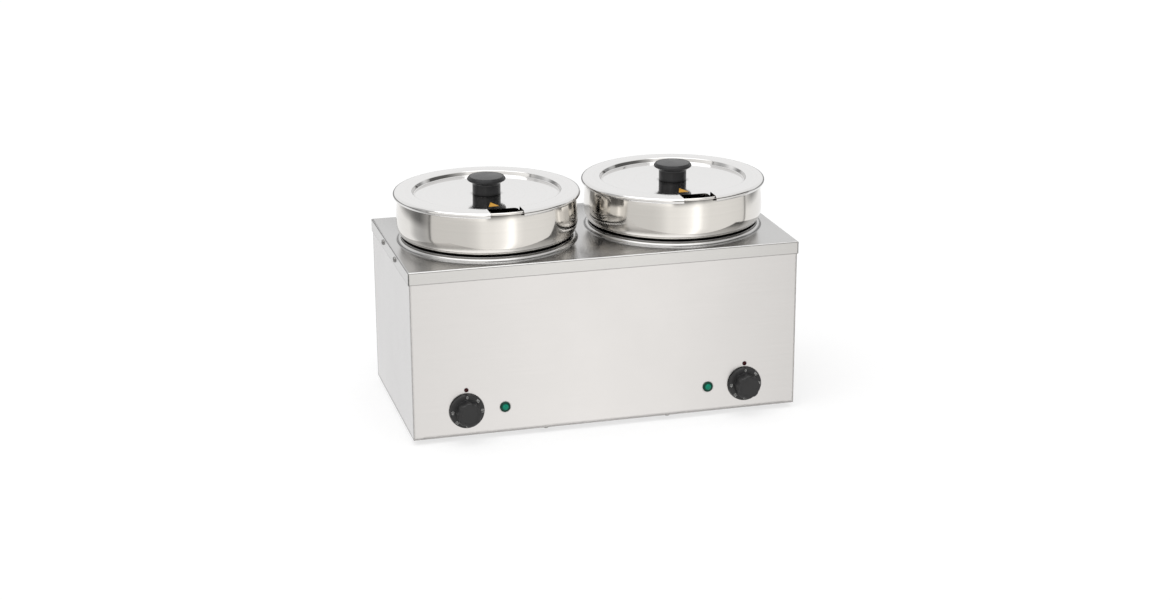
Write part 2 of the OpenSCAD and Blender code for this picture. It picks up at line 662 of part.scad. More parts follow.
// signal lamps
module lamp_lens(side) color("seagreen") on_front(side * lamp_x, z_control) {
    rotate_extrude() polygon(concat([[0, 0], [lamp_d / 2, 0]],
        arc([lamp_d / 2 - 1, lamp_rim_h - 1], 1, 0, 90, 4),
        [for (a = [0:15:90]) [lamp_barrel_r * 0.85 * cos(a), lamp_rim_h + lamp_dome_h * sin(a)]]));
    translate([0, 0, -lamp_barrel]) cylinder(r = lamp_barrel_r, h = lamp_barrel + joint);
}
module left_lamp_lens() lamp_lens(left);
module right_lamp_lens() lamp_lens(right);
module lamp_body(side) color("ivory") on_front(side * lamp_x, z_control) difference() {
    union() {
        translate([0, 0, -lamp_body_len]) cylinder(r = lamp_body_r, h = lamp_body_len - touch);
        for (s = [-1, 1]) translate([s * lamp_tab_x - tab_t / 2, -lamp_tab_w / 2, -lamp_body_len - tab_len])
            cube([tab_t, lamp_tab_w, tab_len + joint]);
    }
    translate([0, 0, -lamp_barrel - touch])
        cylinder(r = lamp_barrel_r + thread_play, h = lamp_barrel + beyond);
}
module lamp_bodies() for (side = [left, right]) lamp_body(side);
module lamp_rings() color("gray") for (side = [left, right]) on_front(side * lamp_x, z_control)
    translate([0, 0, -sheet - lamp_ring_h]) difference() {
        cylinder(r = lamp_hole_r + 3, h = lamp_ring_h);
        translate([0, 0, -beyond]) cylinder(r = lamp_body_r + thread_play, h = lamp_ring_h + 2 * beyond);
    }

// mains connection
module cable_gland() color("dimgray") on_rear(gland_x, z_base + gland_z) difference() {
    union() {
        cylinder(r = gland_hex * hex_factor, h = gland_hex_h, $fn = 6);
        translate([0, 0, -sheet - gland_inside])
            cylinder(r = gland_thread_r, h = sheet + gland_inside + joint);
        cylinder(r = gland_neck_r, h = gland_hex_h + gland_neck_h);
    }
    translate([0, 0, -sheet - gland_inside - beyond])
        cylinder(r = cord_bore_r, h = sheet + gland_inside + gland_hex_h + 2 * beyond);
    translate([0, 0, gland_hex_h]) cylinder(r = gland_seal_r, h = gland_neck_h + beyond);
}
module gland_seal() color("black") on_rear(gland_x, z_base + gland_z) translate([0, 0, gland_hex_h])
    difference() {
        cylinder(r = gland_seal_r - touch, h = gland_neck_h);
        translate([0, 0, -beyond]) cylinder(r = cord_bore_r, h = gland_neck_h + 2 * beyond);
    }
module gland_cap() color("dimgray") on_rear(gland_x, z_base + gland_z) difference() {
    z_low = gland_hex_h + touch;
    rotate_extrude() polygon([[0, z_low], [gland_cap_r, z_low], [gland_cap_r, gland_cap_end - 5],
        [gland_cap_r - 3.5, gland_cap_end], [0, gland_cap_end]]);
    translate([0, 0, gland_hex_h])
        cylinder(r = gland_neck_r + thread_play, h = gland_cap_end - gland_hex_h - gland_cap_floor);
    translate([0, 0, gland_hex_h]) cylinder(r = cord_bore_r, h = gland_cap_end);
    for (k = [0:11]) rotate([0, 0, 30 * k]) translate([gland_cap_r + 0.4, 0, z_low - beyond])
        cylinder(r = 1, h = gland_cap_end - 6);
}
module gland_locknut() color("dimgray") on_rear(gland_x, z_base + gland_z)
    translate([0, 0, -sheet - gland_nut_h]) hex_nut(gland_nut_hex, gland_nut_h, gland_thread_r + thread_play);
module terminal_block() color("ivory") translate([gland_x, block_y, z_floor]) difference() {
    translate([-block_w / 2, -block_d / 2, 0]) cube([block_w, block_d, block_h]);
    for (k = [-2:2]) translate([k * pole_pitch, 0, pole_z]) rotate([90, 0, 0])
        cylinder(r = pole_r, h = block_d + 2 * beyond, center = true);
    for (s = [-1, 1]) translate([s * block_screw_x, 0, -beyond])
        cylinder(r = m3[0] + hole_play, h = block_h + 2 * beyond);
}
module terminal_block_screws() color("gainsboro") for (s = [-1, 1])
    translate([gland_x + s * block_screw_x, block_y, z_floor + block_h])
        slotted_screw(m3, block_h + sheet + 2);
module earth_bolt() color("goldenrod") translate([earth_x, block_y, z_base]) mirror([0, 0, 1])
    slotted_screw(m5, sheet + earth_len);
module earth_nuts() color("goldenrod") for (k = [0, 1])
    translate([earth_x, block_y, z_floor + k * (m5_nut_h + earth_nut_gap)])
    hex_nut(m5_nut_af, m5_nut_h, m5[0] + thread_play);

// internal wires, each from terminal to terminal
function pole(k, back) = [gland_x + k * pole_pitch, block_y - block_d / 2 + 1 - back, z_floor + pole_z];
function tab_end(side, s) = [side * (control_x + s * thermostat_tab_x),
    y_thermostat + tab_len + touch, z_control];
function heater_end(side, s) = [axis_x(side) + side * s * terminal_x, terminal_y, z_terminal - touch];
function cutout_end(side, s) = [axis_x(side) + side * s * cutout_tab_x, 0, z_cutout_tab - touch];
function lamp_end(side, s) = [side * (lamp_x + s * lamp_tab_x),
    -body_d / 2 + lamp_body_len + tab_len + touch, z_control];
function heater_side(side, s) = [axis_x(side) + side * s * terminal_x,
    terminal_y - terminal_r - touch, z_terminal + 4];
module short_wires(side) {
    tube([tab_end(side, -1), tab_end(side, -1) + [0, 12, 0], cutout_end(side, 1) + [side * 12, -20, -12],
        cutout_end(side, 1) + [0, 0, -8], cutout_end(side, 1)], wire_r);
    tube([cutout_end(side, -1), cutout_end(side, -1) + [0, 0, -8], heater_end(side, -1) + [0, 14, -14],
        heater_end(side, -1) + [0, 0, -8], heater_end(side, -1)], wire_r);
    tube([lamp_end(side, -1), lamp_end(side, -1) + [-side * 4, 5, 1],
        heater_side(side, -1) + [side * 6, -10, -10], heater_side(side, -1) + [0, -5, 0],
        heater_side(side, -1)], wire_r);
    tube([lamp_end(side, 1), lamp_end(side, 1) + [side * 3, 5, 1],
        heater_side(side, 1) + [-side * 2, -10, -10], heater_side(side, 1) + [0, -5, 0],
        heater_side(side, 1)], wire_r);
}
module left_wiring() color("saddlebrown") {
    short_wires(left);
    tube([pole(-1, 0), pole(-1, 8), [gland_x - 42, block_y - 34, z_floor + 9],
        [gland_x / 4, block_y - 34, z_floor + 9], [-pot_spacing / 2, block_y - 38, z_floor + 9],
        tab_end(left, 1) + [0, 60, -18], tab_end(left, 1) + [0, 12, 0], tab_end(left, 1)], wire_r);
    tube([pole(0, 0), pole(0, 14), [gland_x - 30, block_y - 46, z_floor + 15],
        [gland_x / 4, block_y - 50, z_floor + 15], [-pot_spacing / 3, block_y - 54, z_floor + 15],
        [heater_end(left, 1)[0], terminal_y + 12, z_floor + 18], heater_end(left, 1) + [0, 0, -10],
        heater_end(left, 1)], wire_r);
}
module right_wiring() color("saddlebrown") {
    short_wires(right);
    tube([pole(2, 0), pole(2, 14), tab_end(right, 1) + [0, 60, -18], tab_end(right, 1) + [0, 12, 0],
        tab_end(right, 1)], wire_r);
    tube([pole(1, 0), pole(1, 14), [heater_end(right, 1)[0] + 12, 0, z_floor + 12],
        [heater_end(right, 1)[0], terminal_y + 12, z_floor + 18], heater_end(right, 1) + [0, 0, -10],
        heater_end(right, 1)], wire_r);
}
module earth_wire() color("yellowgreen") {
    z_ring = z_floor + m5_nut_h + earth_nut_gap / 2;
    tube([pole(-2, 0), pole(-2, 10), [earth_x + 30, block_y - block_d / 2 + 2, z_ring + 8],
        [earth_x + 12, block_y, z_ring], [earth_x + m5[0] + touch, block_y, z_ring]], wire_r);
}

// pots
module pot(side) color("gainsboro") translate([axis_x(side), 0, 0]) {
    spun_sheet(concat([[0, z_pot]],
        arc([pot_r - pot_foot_corner, z_pot + pot_foot_corner], pot_foot_corner, -90, 0),
        arc([pot_r + pot_play, z_shoulder - pot_play], pot_play, 180, 90),
        [for (i = [0:12]) [pot_bulge_r - pot_corner * (1 - sin(7.5 * i)),
            z_shoulder + pot_corner_h * (1 - cos(7.5 * i))]],
        [for (i = [1:10]) [pot_bulge_r - bulge_radius * (1 - cos(bulge_angle * i / 10)),
            z_shoulder + pot_corner_h + bulge_radius * sin(bulge_angle * i / 10)]]), -pot_sheet);
    rotate_extrude() translate([rim_r, z_rim - rim_bead]) circle(rim_bead);
}
module left_pot() pot(left);
module right_pot() pot(right);

// lids
module notch_shape() {
    half = notch_w / 2;
    flare = lid_edge;
    side_line = concat(arc([half - notch_corner, -notch_in_r - notch_corner], notch_corner, 90, 0, 6),
        arc([half + flare, flare - lid_r], flare, 180, 270, 6), [[half + flare, -lid_r - 2 * beyond]]);
    polygon(concat(side_line, reversed([for (p = side_line) [-p[0], p[1]]])));
}
module lid(side) color("gainsboro") translate([axis_x(side), 0, 0]) difference() {
    spun_sheet(concat([[m6[0] + hole_play, z_disc]],
        arc([lid_recess_r - recess_half, z_disc + recess_fillet], recess_fillet, -90, -recess_slope, 5),
        arc([lid_recess_r + recess_half, z_lid - recess_fillet], recess_fillet, 180 - recess_slope, 90, 5),
        arc([lid_r - lid_edge, z_lid - lid_edge], lid_edge, 90, -lid_tuck, 12)), lid_sheet);
    translate([0, 0, z_disc - lid_recess_h - lid_edge])
        linear_extrude(height = 4 * lid_recess_h) notch_shape();
}
module left_lid() lid(left);
module right_lid() lid(right);
module lid_knob(side) color("black") translate([axis_x(side), 0, z_disc]) difference() {
    cap_r = lid_knob_d / 2;
    neck_r = lid_neck_d / 2;
    top_r = cap_r - knob_top_inset;
    z_top = lid_knob_h - knob_dome;
    rotate_extrude() polygon(concat([[0, 0], [neck_r, 0]],
        arc([neck_r + knob_fillet, lid_knob_h - knob_cap], knob_fillet, 180, knob_fillet_end, 5),
        arc([cap_r - knob_edge, lid_knob_h - knob_edge_drop], knob_edge, knob_edge_from, knob_edge_to, 6),
        [[top_r, z_top], [top_r - knob_groove, z_top], [top_r - 1.5 * knob_groove, z_top - knob_groove],
            [top_r - 2 * knob_groove, z_top - knob_groove]],
        [for (i = [0:4]) let (x = (top_r - 2.5 * knob_groove) * (1 - i / 4))
            [x, lid_knob_h - knob_dome * pow(x / top_r, 2)]]));
    translate([0, 0, -beyond]) cylinder(r = m6[0] + thread_play, h = knob_bore + beyond);
}
module left_lid_knob() lid_knob(left);
module right_lid_knob() lid_knob(right);
module lid_screw(side) color("gainsboro") translate([axis_x(side), 0, z_disc - lid_sheet]) mirror([0, 0, 1])
    slotted_screw(m6, lid_sheet + knob_screw_len);
module left_lid_screw() lid_screw(left);
module right_lid_screw() lid_screw(right);
module lid_label(side) color("gold") translate([axis_x(side) - label_aside, -label_reach, z_disc])
    linear_extrude(height = label_t) polygon([[0, 0], [-label_w / 2, -label_h], [label_w / 2, -label_h]]);
module left_lid_label() lid_label(left);
module right_lid_label() lid_label(right);

front_panel();
left_side_panel();
right_side_panel();
rear_panel();
bottom_plate();
deck();
deck_screws();
bottom_plate_screws();
front_left_foot();
front_right_foot();
rear_left_foot();
rear_right_foot();
foot_screws();
foot_nuts();
left_well();
right_well();
left_heating_element();
right_heating_element();
left_heater_clamp();
right_heater_clamp();
heater_clamp_nuts();
safety_cutouts();
left_sensor();
right_sensor();
left_thermostat();
right_thermostat();
thermostat_screws();
left_lamp_lens();
right_lamp_lens();
lamp_bodies();
lamp_rings();
left_index_dot();
right_index_dot();
terminal_block();
terminal_block_screws();
earth_bolt();
earth_nuts();
cable_gland();
gland_cap();
gland_seal();
gland_locknut();
left_wiring();
right_wiring();
earth_wire();
left_pot();
right_pot();
left_lid();
right_lid();
left_lid_knob();
right_lid_knob();
left_lid_screw();
right_lid_screw();
left_lid_label();
right_lid_label();
left_dial();
right_dial();
left_dial_marks();
right_dial_marks();
left_shaft();
right_shaft();
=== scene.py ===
"""Looks of a counter-top double hotpot: turned pots and lids, folded deck, dials, lamps and a studio."""

import math

import bmesh
import bpy
from bpy.props import FloatProperty, FloatVectorProperty, IntProperty, PointerProperty
from mathutils import Matrix, Vector


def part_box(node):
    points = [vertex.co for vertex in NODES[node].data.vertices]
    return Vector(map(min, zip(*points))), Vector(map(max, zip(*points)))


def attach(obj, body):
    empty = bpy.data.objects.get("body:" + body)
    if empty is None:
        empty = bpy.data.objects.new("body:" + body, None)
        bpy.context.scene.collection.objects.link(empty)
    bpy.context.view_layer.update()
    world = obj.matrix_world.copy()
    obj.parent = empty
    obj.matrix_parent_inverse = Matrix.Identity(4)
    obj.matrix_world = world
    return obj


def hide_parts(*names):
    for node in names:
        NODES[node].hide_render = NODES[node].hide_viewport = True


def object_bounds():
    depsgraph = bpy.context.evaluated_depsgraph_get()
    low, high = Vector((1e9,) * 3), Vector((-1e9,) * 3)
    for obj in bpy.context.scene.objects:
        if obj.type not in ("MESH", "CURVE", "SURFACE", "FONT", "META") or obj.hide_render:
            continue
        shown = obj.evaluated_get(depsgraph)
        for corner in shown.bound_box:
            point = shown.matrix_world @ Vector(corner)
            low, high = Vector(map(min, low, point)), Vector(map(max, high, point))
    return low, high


bl_info = {
    "name": "Double Hotpot Dressing",
    "version": (1, 0, 0),
    "blender": (4, 5, 0),
    "location": "View3D > Sidebar > Hotpot",
    "description": "Turned pots and lids, folded deck, dials, lamps, finishes and studio of a double hotpot",
    "category": "Object",
}

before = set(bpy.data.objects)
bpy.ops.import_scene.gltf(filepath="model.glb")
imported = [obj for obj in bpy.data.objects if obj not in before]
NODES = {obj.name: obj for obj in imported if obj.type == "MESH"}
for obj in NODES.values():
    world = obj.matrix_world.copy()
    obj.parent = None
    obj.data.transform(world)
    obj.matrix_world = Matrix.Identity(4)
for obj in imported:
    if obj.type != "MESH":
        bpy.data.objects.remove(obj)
CAD_LOW, CAD_HIGH = [corner.copy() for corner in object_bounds()]
SIDES = ("left", "right")
HOUSING = "housing"

# smallest angle between two faces that shows as an edge
CREASE = math.radians(32)
# radius that counts as the axis, and distance under which two vertices are one
ON_AXIS = 1e-7
WELD = 1e-6
# local +Z of a piece on the front panel points out of the panel
OUT_OF_FRONT = Matrix.Rotation(math.radians(90), 4, "X")
# places of the rings on the domed top of a lid knob, as shares of its radius
KNOB_DOME_SHARES = (1.0, 0.97, 0.9, 0.75, 0.5, 0.25)
# drops of the rings over the edge of that top and into its groove, in halves of the groove's width
KNOB_GROOVE_DROPS = (1, 0, 0, 2, 2)
# figures of a dial with their angles in degrees, and their height as a share of the letters' size
DIAL_FIGURES = (("0", 0), ("40", 90), ("50", 135), ("60", 180), ("70", 225), ("80", 270), ("90", 315))
FIGURE_SHARE = 0.72
# rings down into a dial's dished face: metres in from the face's edge, and share of the dish's depth
DISH_RINGS = ((0.0, 0.1), (0.0008, 0.7), (0.0018, 1.0))
# sockets of a Mix node for vectors and for colours
MIX_VECTORS = (4, 5)
MIX_VECTOR_RESULT = 1
MIX_COLOURS = (6, 7)
MIX_COLOUR_RESULT = 2
# share of a finish's colour that is left deep in a crevice, as painted shade
CREVICE_SHADE = 0.12
# how open the painted shade line along a steel sheet's edges counts, where a crevice is 0 and an open face is
# 1
SHADE_LINE_OPEN = 0.03
# lines of the grain per metre along it, across it and through the sheet
GRAIN = (24.0, 3200.0, 3200.0)
# share of a face's direction along X from which the face counts as an end of the housing
END_FACING = 0.6
# light of the front of the reflected wall, a little warm, other light, and the floor's own colour
WALL_TINT = (1.0, 0.985, 0.96)
WHITE = (1.0, 1.0, 1.0)
FLOOR_GREY = (0.5, 0.5, 0.5)
# metres from the hotpot to the floor's edge, faces round the wall, and direction of the key light
FLOOR_REACH = 30.0
WALL_STEPS = 96
KEY_AIM = (0.25, 0.3, -1.0)


# Settings


def distance(name, description, millimetres):
    """A length that a user may change, given in millimetres."""
    return FloatProperty(name=name, description=description, default=millimetres / 1000,
                         min=0.0, precision=4, unit="LENGTH", subtype="DISTANCE")


def amount(name, description, value, top=1.0):
    """A plain number that a user may change."""
    return FloatProperty(name=name, description=description, default=value, min=0.0, max=top, precision=3)


def turn(name, description, degrees):
    """An angle that a user may change, given in degrees."""
    return FloatProperty(name=name, description=description, default=math.radians(degrees),
                         unit="ROTATION", subtype="ANGLE")


def tone(name, description, colour):
    """A colour that a user may change."""
    return FloatVectorProperty(name=name, description=description, default=colour,
                               size=3, min=0.0, max=1.0, subtype="COLOR")


def count(name, description, value):
    """A whole number that a user may change."""
    return IntProperty(name=name, description=description, default=value, min=3, max=512)


class PotSettings(bpy.types.PropertyGroup):
    """Section of the inset pots."""

    steps: count("Steps", "Faces round a pot", 256)
    sheet: distance("Sheet", "Thickness of the pot's sheet", 1.0)
    body_radius: distance("Body radius", "Outer radius of the lower body", 111)
    foot_corner: distance("Foot corner", "Radius of the corner at the base", 16)
    fillet: distance("Shoulder fillet", "Radius under the shoulder", 4)
    wall_radius: distance("Wall radius", "Largest radius of the upper wall", 129.5)
    wall_corner: distance("Wall corner", "Width of the rounded corner under the upper wall", 13)
    corner_height: distance("Corner height", "Height of the rounded corner under the upper wall", 21)
    neck_radius: distance("Neck radius", "Radius of the wall below the rim", 125.8)
    bead: distance("Bead", "Radius of the rolled rim", 1.8)
    seat_gap: distance("Seat gap", "Gap between the shoulder and the rim of the well", 0.3)


class LidSettings(bpy.types.PropertyGroup):
    """Section and notch of the lids."""

    steps: count("Steps", "Faces round a lid", 256)
    sheet: distance("Sheet", "Thickness of the lid's sheet", 1.0)
    hole: distance("Hole", "Radius of the hole for the knob's screw", 3.2)
    edge: distance("Edge", "Radius of the rounded edge", 4.4)
    tuck: turn("Tuck", "Angle by which the edge turns in below its widest line", 40)
    recess_radius: distance("Recess radius", "Radius of the wall round the sunk centre", 105)
    recess_depth: distance("Recess depth", "Depth of the sunk centre", 6.2)
    recess_fillet: distance("Recess fillet", "Radius of the bends at the sunk centre", 1.4)
    recess_slope: turn("Recess slope", "Lean of the wall round the sunk centre", 18)
    notch_width: distance("Notch width", "Width of the ladle notch", 47)
    notch_depth: distance("Notch depth", "Depth of the ladle notch from the edge", 46)
    notch_corner: distance("Notch corner", "Radius of the notch's inner corners", 6)


class KnobSettings(bpy.types.PropertyGroup):
    """Section of the lid knobs."""

    steps: count("Steps", "Faces round a knob", 128)
    neck_diameter: distance("Neck diameter", "Diameter of the knob's neck", 40)
    foot_round: distance("Foot round", "Radius of the edge at the neck's foot", 0.4)
    cap_height: distance("Cap height", "Height of the cap with the hollow under it", 12.4)
    hollow: distance("Hollow", "Radius of the hollow under the cap", 4)
    hollow_end: turn("Hollow end", "Angle at which the hollow runs into the cap's underside", 115)
    edge: distance("Edge", "Radius of the cap's rounded edge", 2)
    edge_from: turn("Edge start", "Angle at which the cap's rounded edge starts", -60)
    edge_to: turn("Edge end", "Angle at which the cap's rounded edge ends", 30)
    edge_drop: distance("Edge drop", "Distance of the cap's widest place below its top", 4.4)
    top_inset: distance("Top inset", "Distance of the top's edge from the cap's widest place", 2.3)
    dome: distance("Dome", "Height of the domed top", 0.7)
    groove: distance("Groove", "Width and depth of the groove round the top", 0.6)


class DialSettings(bpy.types.PropertyGroup):
    """Form of the control dials and their figures."""

    steps: count("Steps", "Faces round a dial", 192)
    plate: distance("Plate", "Thickness of the dial's plate", 5)
    taper: distance("Taper", "Lean of the plate's edge", 0.8)
    back_bevel: distance("Back bevel", "Width of the bevel at the plate's back", 0.4)
    plate_round: distance("Plate round", "Radius of the plate's front edge", 0.7)
    grip_diameter: distance("Grip diameter", "Diameter of the grip over its lobes", 35)
    grip_foot: distance("Grip foot", "Radius of the fillet at the grip's foot", 0.8)
    grip_round: distance("Grip round", "Radius of the grip's front edge", 2.5)
    scallops: count("Scallops", "Hollows round the grip", 8)
    scallop_radius: distance("Scallop radius", "Radius of each hollow", 9)
    scallop_depth: distance("Scallop depth", "Depth of each hollow", 1.1)
    lobe_soft: distance("Lobe softness", "Softness of the edges between the hollows", 0.35)
    face_margin: distance("Face margin", "Width of the flat edge round the dished face", 1.6)
    face_middle: distance("Face middle", "Radius of the flat middle of the face", 7)
    face_dish: distance("Face dish", "Depth of the dished face", 0.5)
    figure_height: distance("Figure height", "Height of the figures", 4.0)
    figure_raise: distance("Figure raise", "Thickness of the printed figures", 0.2)


class DeckSettings(bpy.types.PropertyGroup):
    """Form of the folded deck."""

    steps: count("Steps", "Faces round a collar", 256)
    sheet: distance("Sheet", "Thickness of the deck's sheet", 1.0)
    bend: distance("Bend", "Outer radius of the folded edges", 2.5)
    collar_height: distance("Collar height", "Height of the collar round an opening", 5)
    collar_radius: distance("Collar radius", "Outer radius of a collar", 129)
    collar_fillet: distance("Collar fillet", "Radius at the foot of a collar", 0.8)
    opening_radius: distance("Opening radius", "Radius of the opening for a well", 118)
    slit: distance("Slit", "Width of the open slit at a folded corner", 0.8)
    slit_end: distance("Slit end", "Distance of the slit's end below the bend", 0.5)


class LampSettings(bpy.types.PropertyGroup):
    """Form of the signal lamps and index dots."""

    steps: count("Steps", "Faces round a lamp", 96)
    rim: distance("Rim", "Height of the lamp's rim", 1.6)
    rim_round: distance("Rim round", "Radius of the rim's front edge", 0.9)
    rim_overhang: distance("Rim overhang", "Reach of the rim past the barrel", 1.8)
    field: amount("Field", "Radius of the lens as a share of the rim's", 0.66)
    field_gap: distance("Field gap", "Gap between the rim and the lens", 0.4)
    dome: distance("Dome", "Height of the lamp's lens over its rim", 1.8)
    roundness: amount("Roundness", "Share of a full dome that the lens takes up", 0.96)
    prisms: count("Prisms", "Ring prisms on the lens", 5)
    prism_face: amount("Prism face", "Share of a prism's width that is its face", 0.75)
    prism_drop: distance("Prism drop", "Drop of a prism's outer edge", 0.2)
    prism_rise: distance("Prism rise", "Rise of a prism's inner edge", 0.1)
    # radii of the glow painted into the lens's colour
    glow_full: distance("Full glow", "Radius within which the lens is brightest", 3.6)
    glow_end: distance("Glow end", "Radius at which the glow has faded", 5)
    dot_rim: distance("Dot rim", "Height of an index dot's rim", 0.4)


class FinishSettings(bpy.types.PropertyGroup):
    """Colours of the finishes."""

    panel: tone("Panel", "Satin steel of the housing", (0.597, 0.587, 0.585))
    # the deck's colour is made darker as painted shade, standing in for the pots' dark reflections and the
    # shadows on the deck
    deck: tone("Deck", "Satin steel of the deck", (0.545, 0.54, 0.535))
    polish: tone("Polish", "Polished steel of the lids and wells", (0.76, 0.752, 0.745))
    pot: tone("Pot", "Polished steel of the pots", (0.765, 0.745, 0.715))
    black: tone("Black", "Black plastic of the knobs and dials", (0.026, 0.026, 0.027))
    lamp: tone("Lamp", "Green of the signal lamps", (0.006, 0.27, 0.165))
    index: tone("Index", "Dark red of the index dots", (0.045, 0.002, 0.004))
    figures: tone("Figures", "White print on the dials", (0.72, 0.72, 0.7))
    label: tone("Label", "Yellow film of the labels", (0.72, 0.36, 0.03))
    foot: tone("Foot", "Rubber of the feet", (0.03, 0.03, 0.032))
    seal: tone("Seal", "Rubber of the gland's seal", (0.02, 0.02, 0.02))
    screw: tone("Screw", "Zinc of the screws, nuts and lamp rings", (0.3, 0.295, 0.29))
    element: tone("Element", "Annealed steel of the heating elements", (0.36, 0.34, 0.33))
    clamp: tone("Clamp", "Aluminium of the clamp plates", (0.72, 0.72, 0.73))
    copper: tone("Copper", "Copper of the sensors", (0.75, 0.36, 0.22))
    brass: tone("Brass", "Brass of the shafts and the earth bolt", (0.72, 0.5, 0.22))
    dark: tone("Dark moulding", "Plastic of the gland and the cut-outs", (0.035, 0.035, 0.037))
    pale: tone("Pale moulding", "Plastic of thermostats, lamps and terminals", (0.72, 0.7, 0.64))
    wire: tone("Wire", "Brown insulation", (0.13, 0.05, 0.025))
    earth: tone("Earth wire", "Green insulation", (0.3, 0.5, 0.04))


class StudioSettings(bpy.types.PropertyGroup):
    """Floor, light and camera."""

    azimuth: turn("Azimuth", "Camera direction round the hotpot, from the front", 15.195)
    elevation: turn("Elevation", "Camera direction above the horizon", 17.782)
    roll: turn("Roll", "Tilt of the camera about its own axis", -0.263)
    range: distance("Range", "Distance of the camera from the middle of the base", 3188.1)
    aim_right: distance("Aim right", "Aim to the right of the middle of the base", 5.03)
    aim_up: distance("Aim up", "Aim above the middle of the base", 130.3)
    lens: amount("Lens", "Focal length in millimetres on a 36 mm sensor", 66.184, 500.0)
    sky: amount("Sky", "Strength of the soft light from all round", 0.55, 4.0)
    key: amount("Key light", "Strength of the wide key light", 1.3, 20.0)
    key_spread: turn("Key spread", "Width of the key light seen from the hotpot", 70)
    floor_lift: amount("Floor lift", "Light added to the floor for the camera", 0.57, 2.0)
    wall_radius: distance("Wall radius", "Distance of the reflected wall", 4000)


class HotpotSettings(bpy.types.PropertyGroup):
    """All settings of the hotpot."""

    pot: PointerProperty(type=PotSettings)
    lid: PointerProperty(type=LidSettings)
    knob: PointerProperty(type=KnobSettings)
    dial: PointerProperty(type=DialSettings)
    deck: PointerProperty(type=DeckSettings)
    lamp: PointerProperty(type=LampSettings)
    finish: PointerProperty(type=FinishSettings)
    studio: PointerProperty(type=StudioSettings)


# Mesh helpers


def arc(centre, radius, start, end, steps):
    """Points of a flat arc from one angle to another in degrees."""
    angles = [math.radians(start + (end - start) * i / steps) for i in range(steps + 1)]
    return [(centre[0] + radius * math.cos(a), centre[1] + radius * math.sin(a)) for a in angles]


def oval(centre, across, up, start, end, steps):
    """Points of a flat oval arc from one angle to another in degrees."""
    return [(centre[0] + across * x, centre[1] + up * y) for x, y in arc((0.0, 0.0), 1.0, start, end, steps)]


def ring(bm, radius, height, steps, x=0.0):
    """A ring of vertices round an upright axis at x, or one vertex on that axis."""
    if radius < ON_AXIS:
        return [bm.verts.new((x, 0, height))]
    angles = [2 * math.pi * k / steps for k in range(steps)]
    return [bm.verts.new((x + radius * math.cos(a), radius * math.sin(a), height)) for a in angles]


def skin(bm, lower, upper):
    """Faces between two rings, either of which may be a single vertex."""
    for k in range(max(len(lower), len(upper))):
        corners = [lower[k % len(lower)], lower[(k + 1) % len(lower)],
                   upper[(k + 1) % len(upper)], upper[k % len(upper)]]
        corners = list(dict.fromkeys(corners))
        if len(corners) > 2:
            bm.faces.new(corners)


def skins(bm, rings):
    """Faces between each ring and the next."""
    for lower, upper in zip(rings, rings[1:]):
        skin(bm, lower, upper)


def turned(outline, steps):
    """A mesh turned from an outline, which either ends on the axis or is closed to a loop."""
    bm = bmesh.new()
    rings = [ring(bm, radius, height, steps) for radius, height in outline]
    if len(rings[0]) > 1:
        rings.append(rings[0])
    skins(bm, rings)
    return bm


def to_mesh(bm, name):
    """A finished mesh with outward faces, smooth where it is round and sharp at its edges."""
    bmesh.ops.recalc_face_normals(bm, faces=bm.faces)
    for face in bm.faces:
        face.smooth = True
    for edge in bm.edges:
        edge.smooth = len(edge.link_faces) == 2 and edge.calc_face_angle(math.pi) < CREASE
    mesh = bpy.data.meshes.new(name)
    bm.to_mesh(mesh)
    bm.free()
    return mesh


def added(name, data):
    """A new object in the scene."""
    thing = bpy.data.objects.new(name, data)
    bpy.context.scene.collection.objects.link(thing)
    return thing


def placed(mesh, matrix, body, node, slot):
    """A piece that stands for a CAD node, moves with a body and has the finish of a slot."""
    piece = added(mesh.name, mesh)
    piece.matrix_world = matrix
    mesh.materials.append(make_finish(slot))
    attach(piece, body)
    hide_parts(node)


def cut(bm, cutter, name):
    """The mesh with another mesh cut out of it."""
    block = added(name, to_mesh(bm, name))
    tool = added(name + "_cutter", to_mesh(cutter, name + "_cutter"))
    saw = block.modifiers.new("Cut", "BOOLEAN")
    saw.operation = "DIFFERENCE"
    saw.solver = "EXACT"
    saw.object = tool
    seen = block.evaluated_get(bpy.context.evaluated_depsgraph_get())
    result = bmesh.new()
    result.from_mesh(seen.to_mesh())
    seen.to_mesh_clear()
    for thing in (block, tool):
        old = thing.data
        bpy.data.objects.remove(thing)
        bpy.data.meshes.remove(old)
    return result


def prism(outline, low, high):
    """A solid with straight sides from a flat outline of (x, y) points."""
    bm = bmesh.new()
    lower = [bm.verts.new((x, y, low)) for x, y in outline]
    upper = [bm.verts.new((x, y, high)) for x, y in outline]
    bm.faces.new(lower[::-1])
    bm.faces.new(upper)
    for k, corner in enumerate(lower):
        after = (k + 1) % len(lower)
        bm.faces.new((corner, lower[after], upper[after], upper[k]))
    return bm


def centre_of(node):
    """Middle of a CAD node's box."""
    low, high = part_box(node)
    return (low + high) / 2


def radius_of(node):
    """Half the width of a CAD node's box."""
    low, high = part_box(node)
    return (high.x - low.x) / 2


def upright_on(node):
    """Place of a piece that is turned about a CAD node's upright axis."""
    middle = centre_of(node)
    return Matrix.Translation((middle.x, middle.y, 0))


def on_front(node, y):
    """Place of a piece that points out of the front panel at a CAD node's middle."""
    middle = centre_of(node)
    return Matrix.Translation((middle.x, y, middle.z)) @ OUT_OF_FRONT


# Shared finish effects


def node_in(tree, kind, **inputs):
    """A shader node with values for its inputs, which are given by name with _ for a space."""
    node = tree.nodes.new(kind)
    for name, value in inputs.items():
        node.inputs[name.replace("_", " ")].default_value = value
    return node


def feed(tree, socket, value):
    """A constant set on a socket, or another node's output linked to it."""
    if isinstance(value, bpy.types.NodeSocket):
        tree.links.new(value, socket)
    else:
        socket.default_value = value


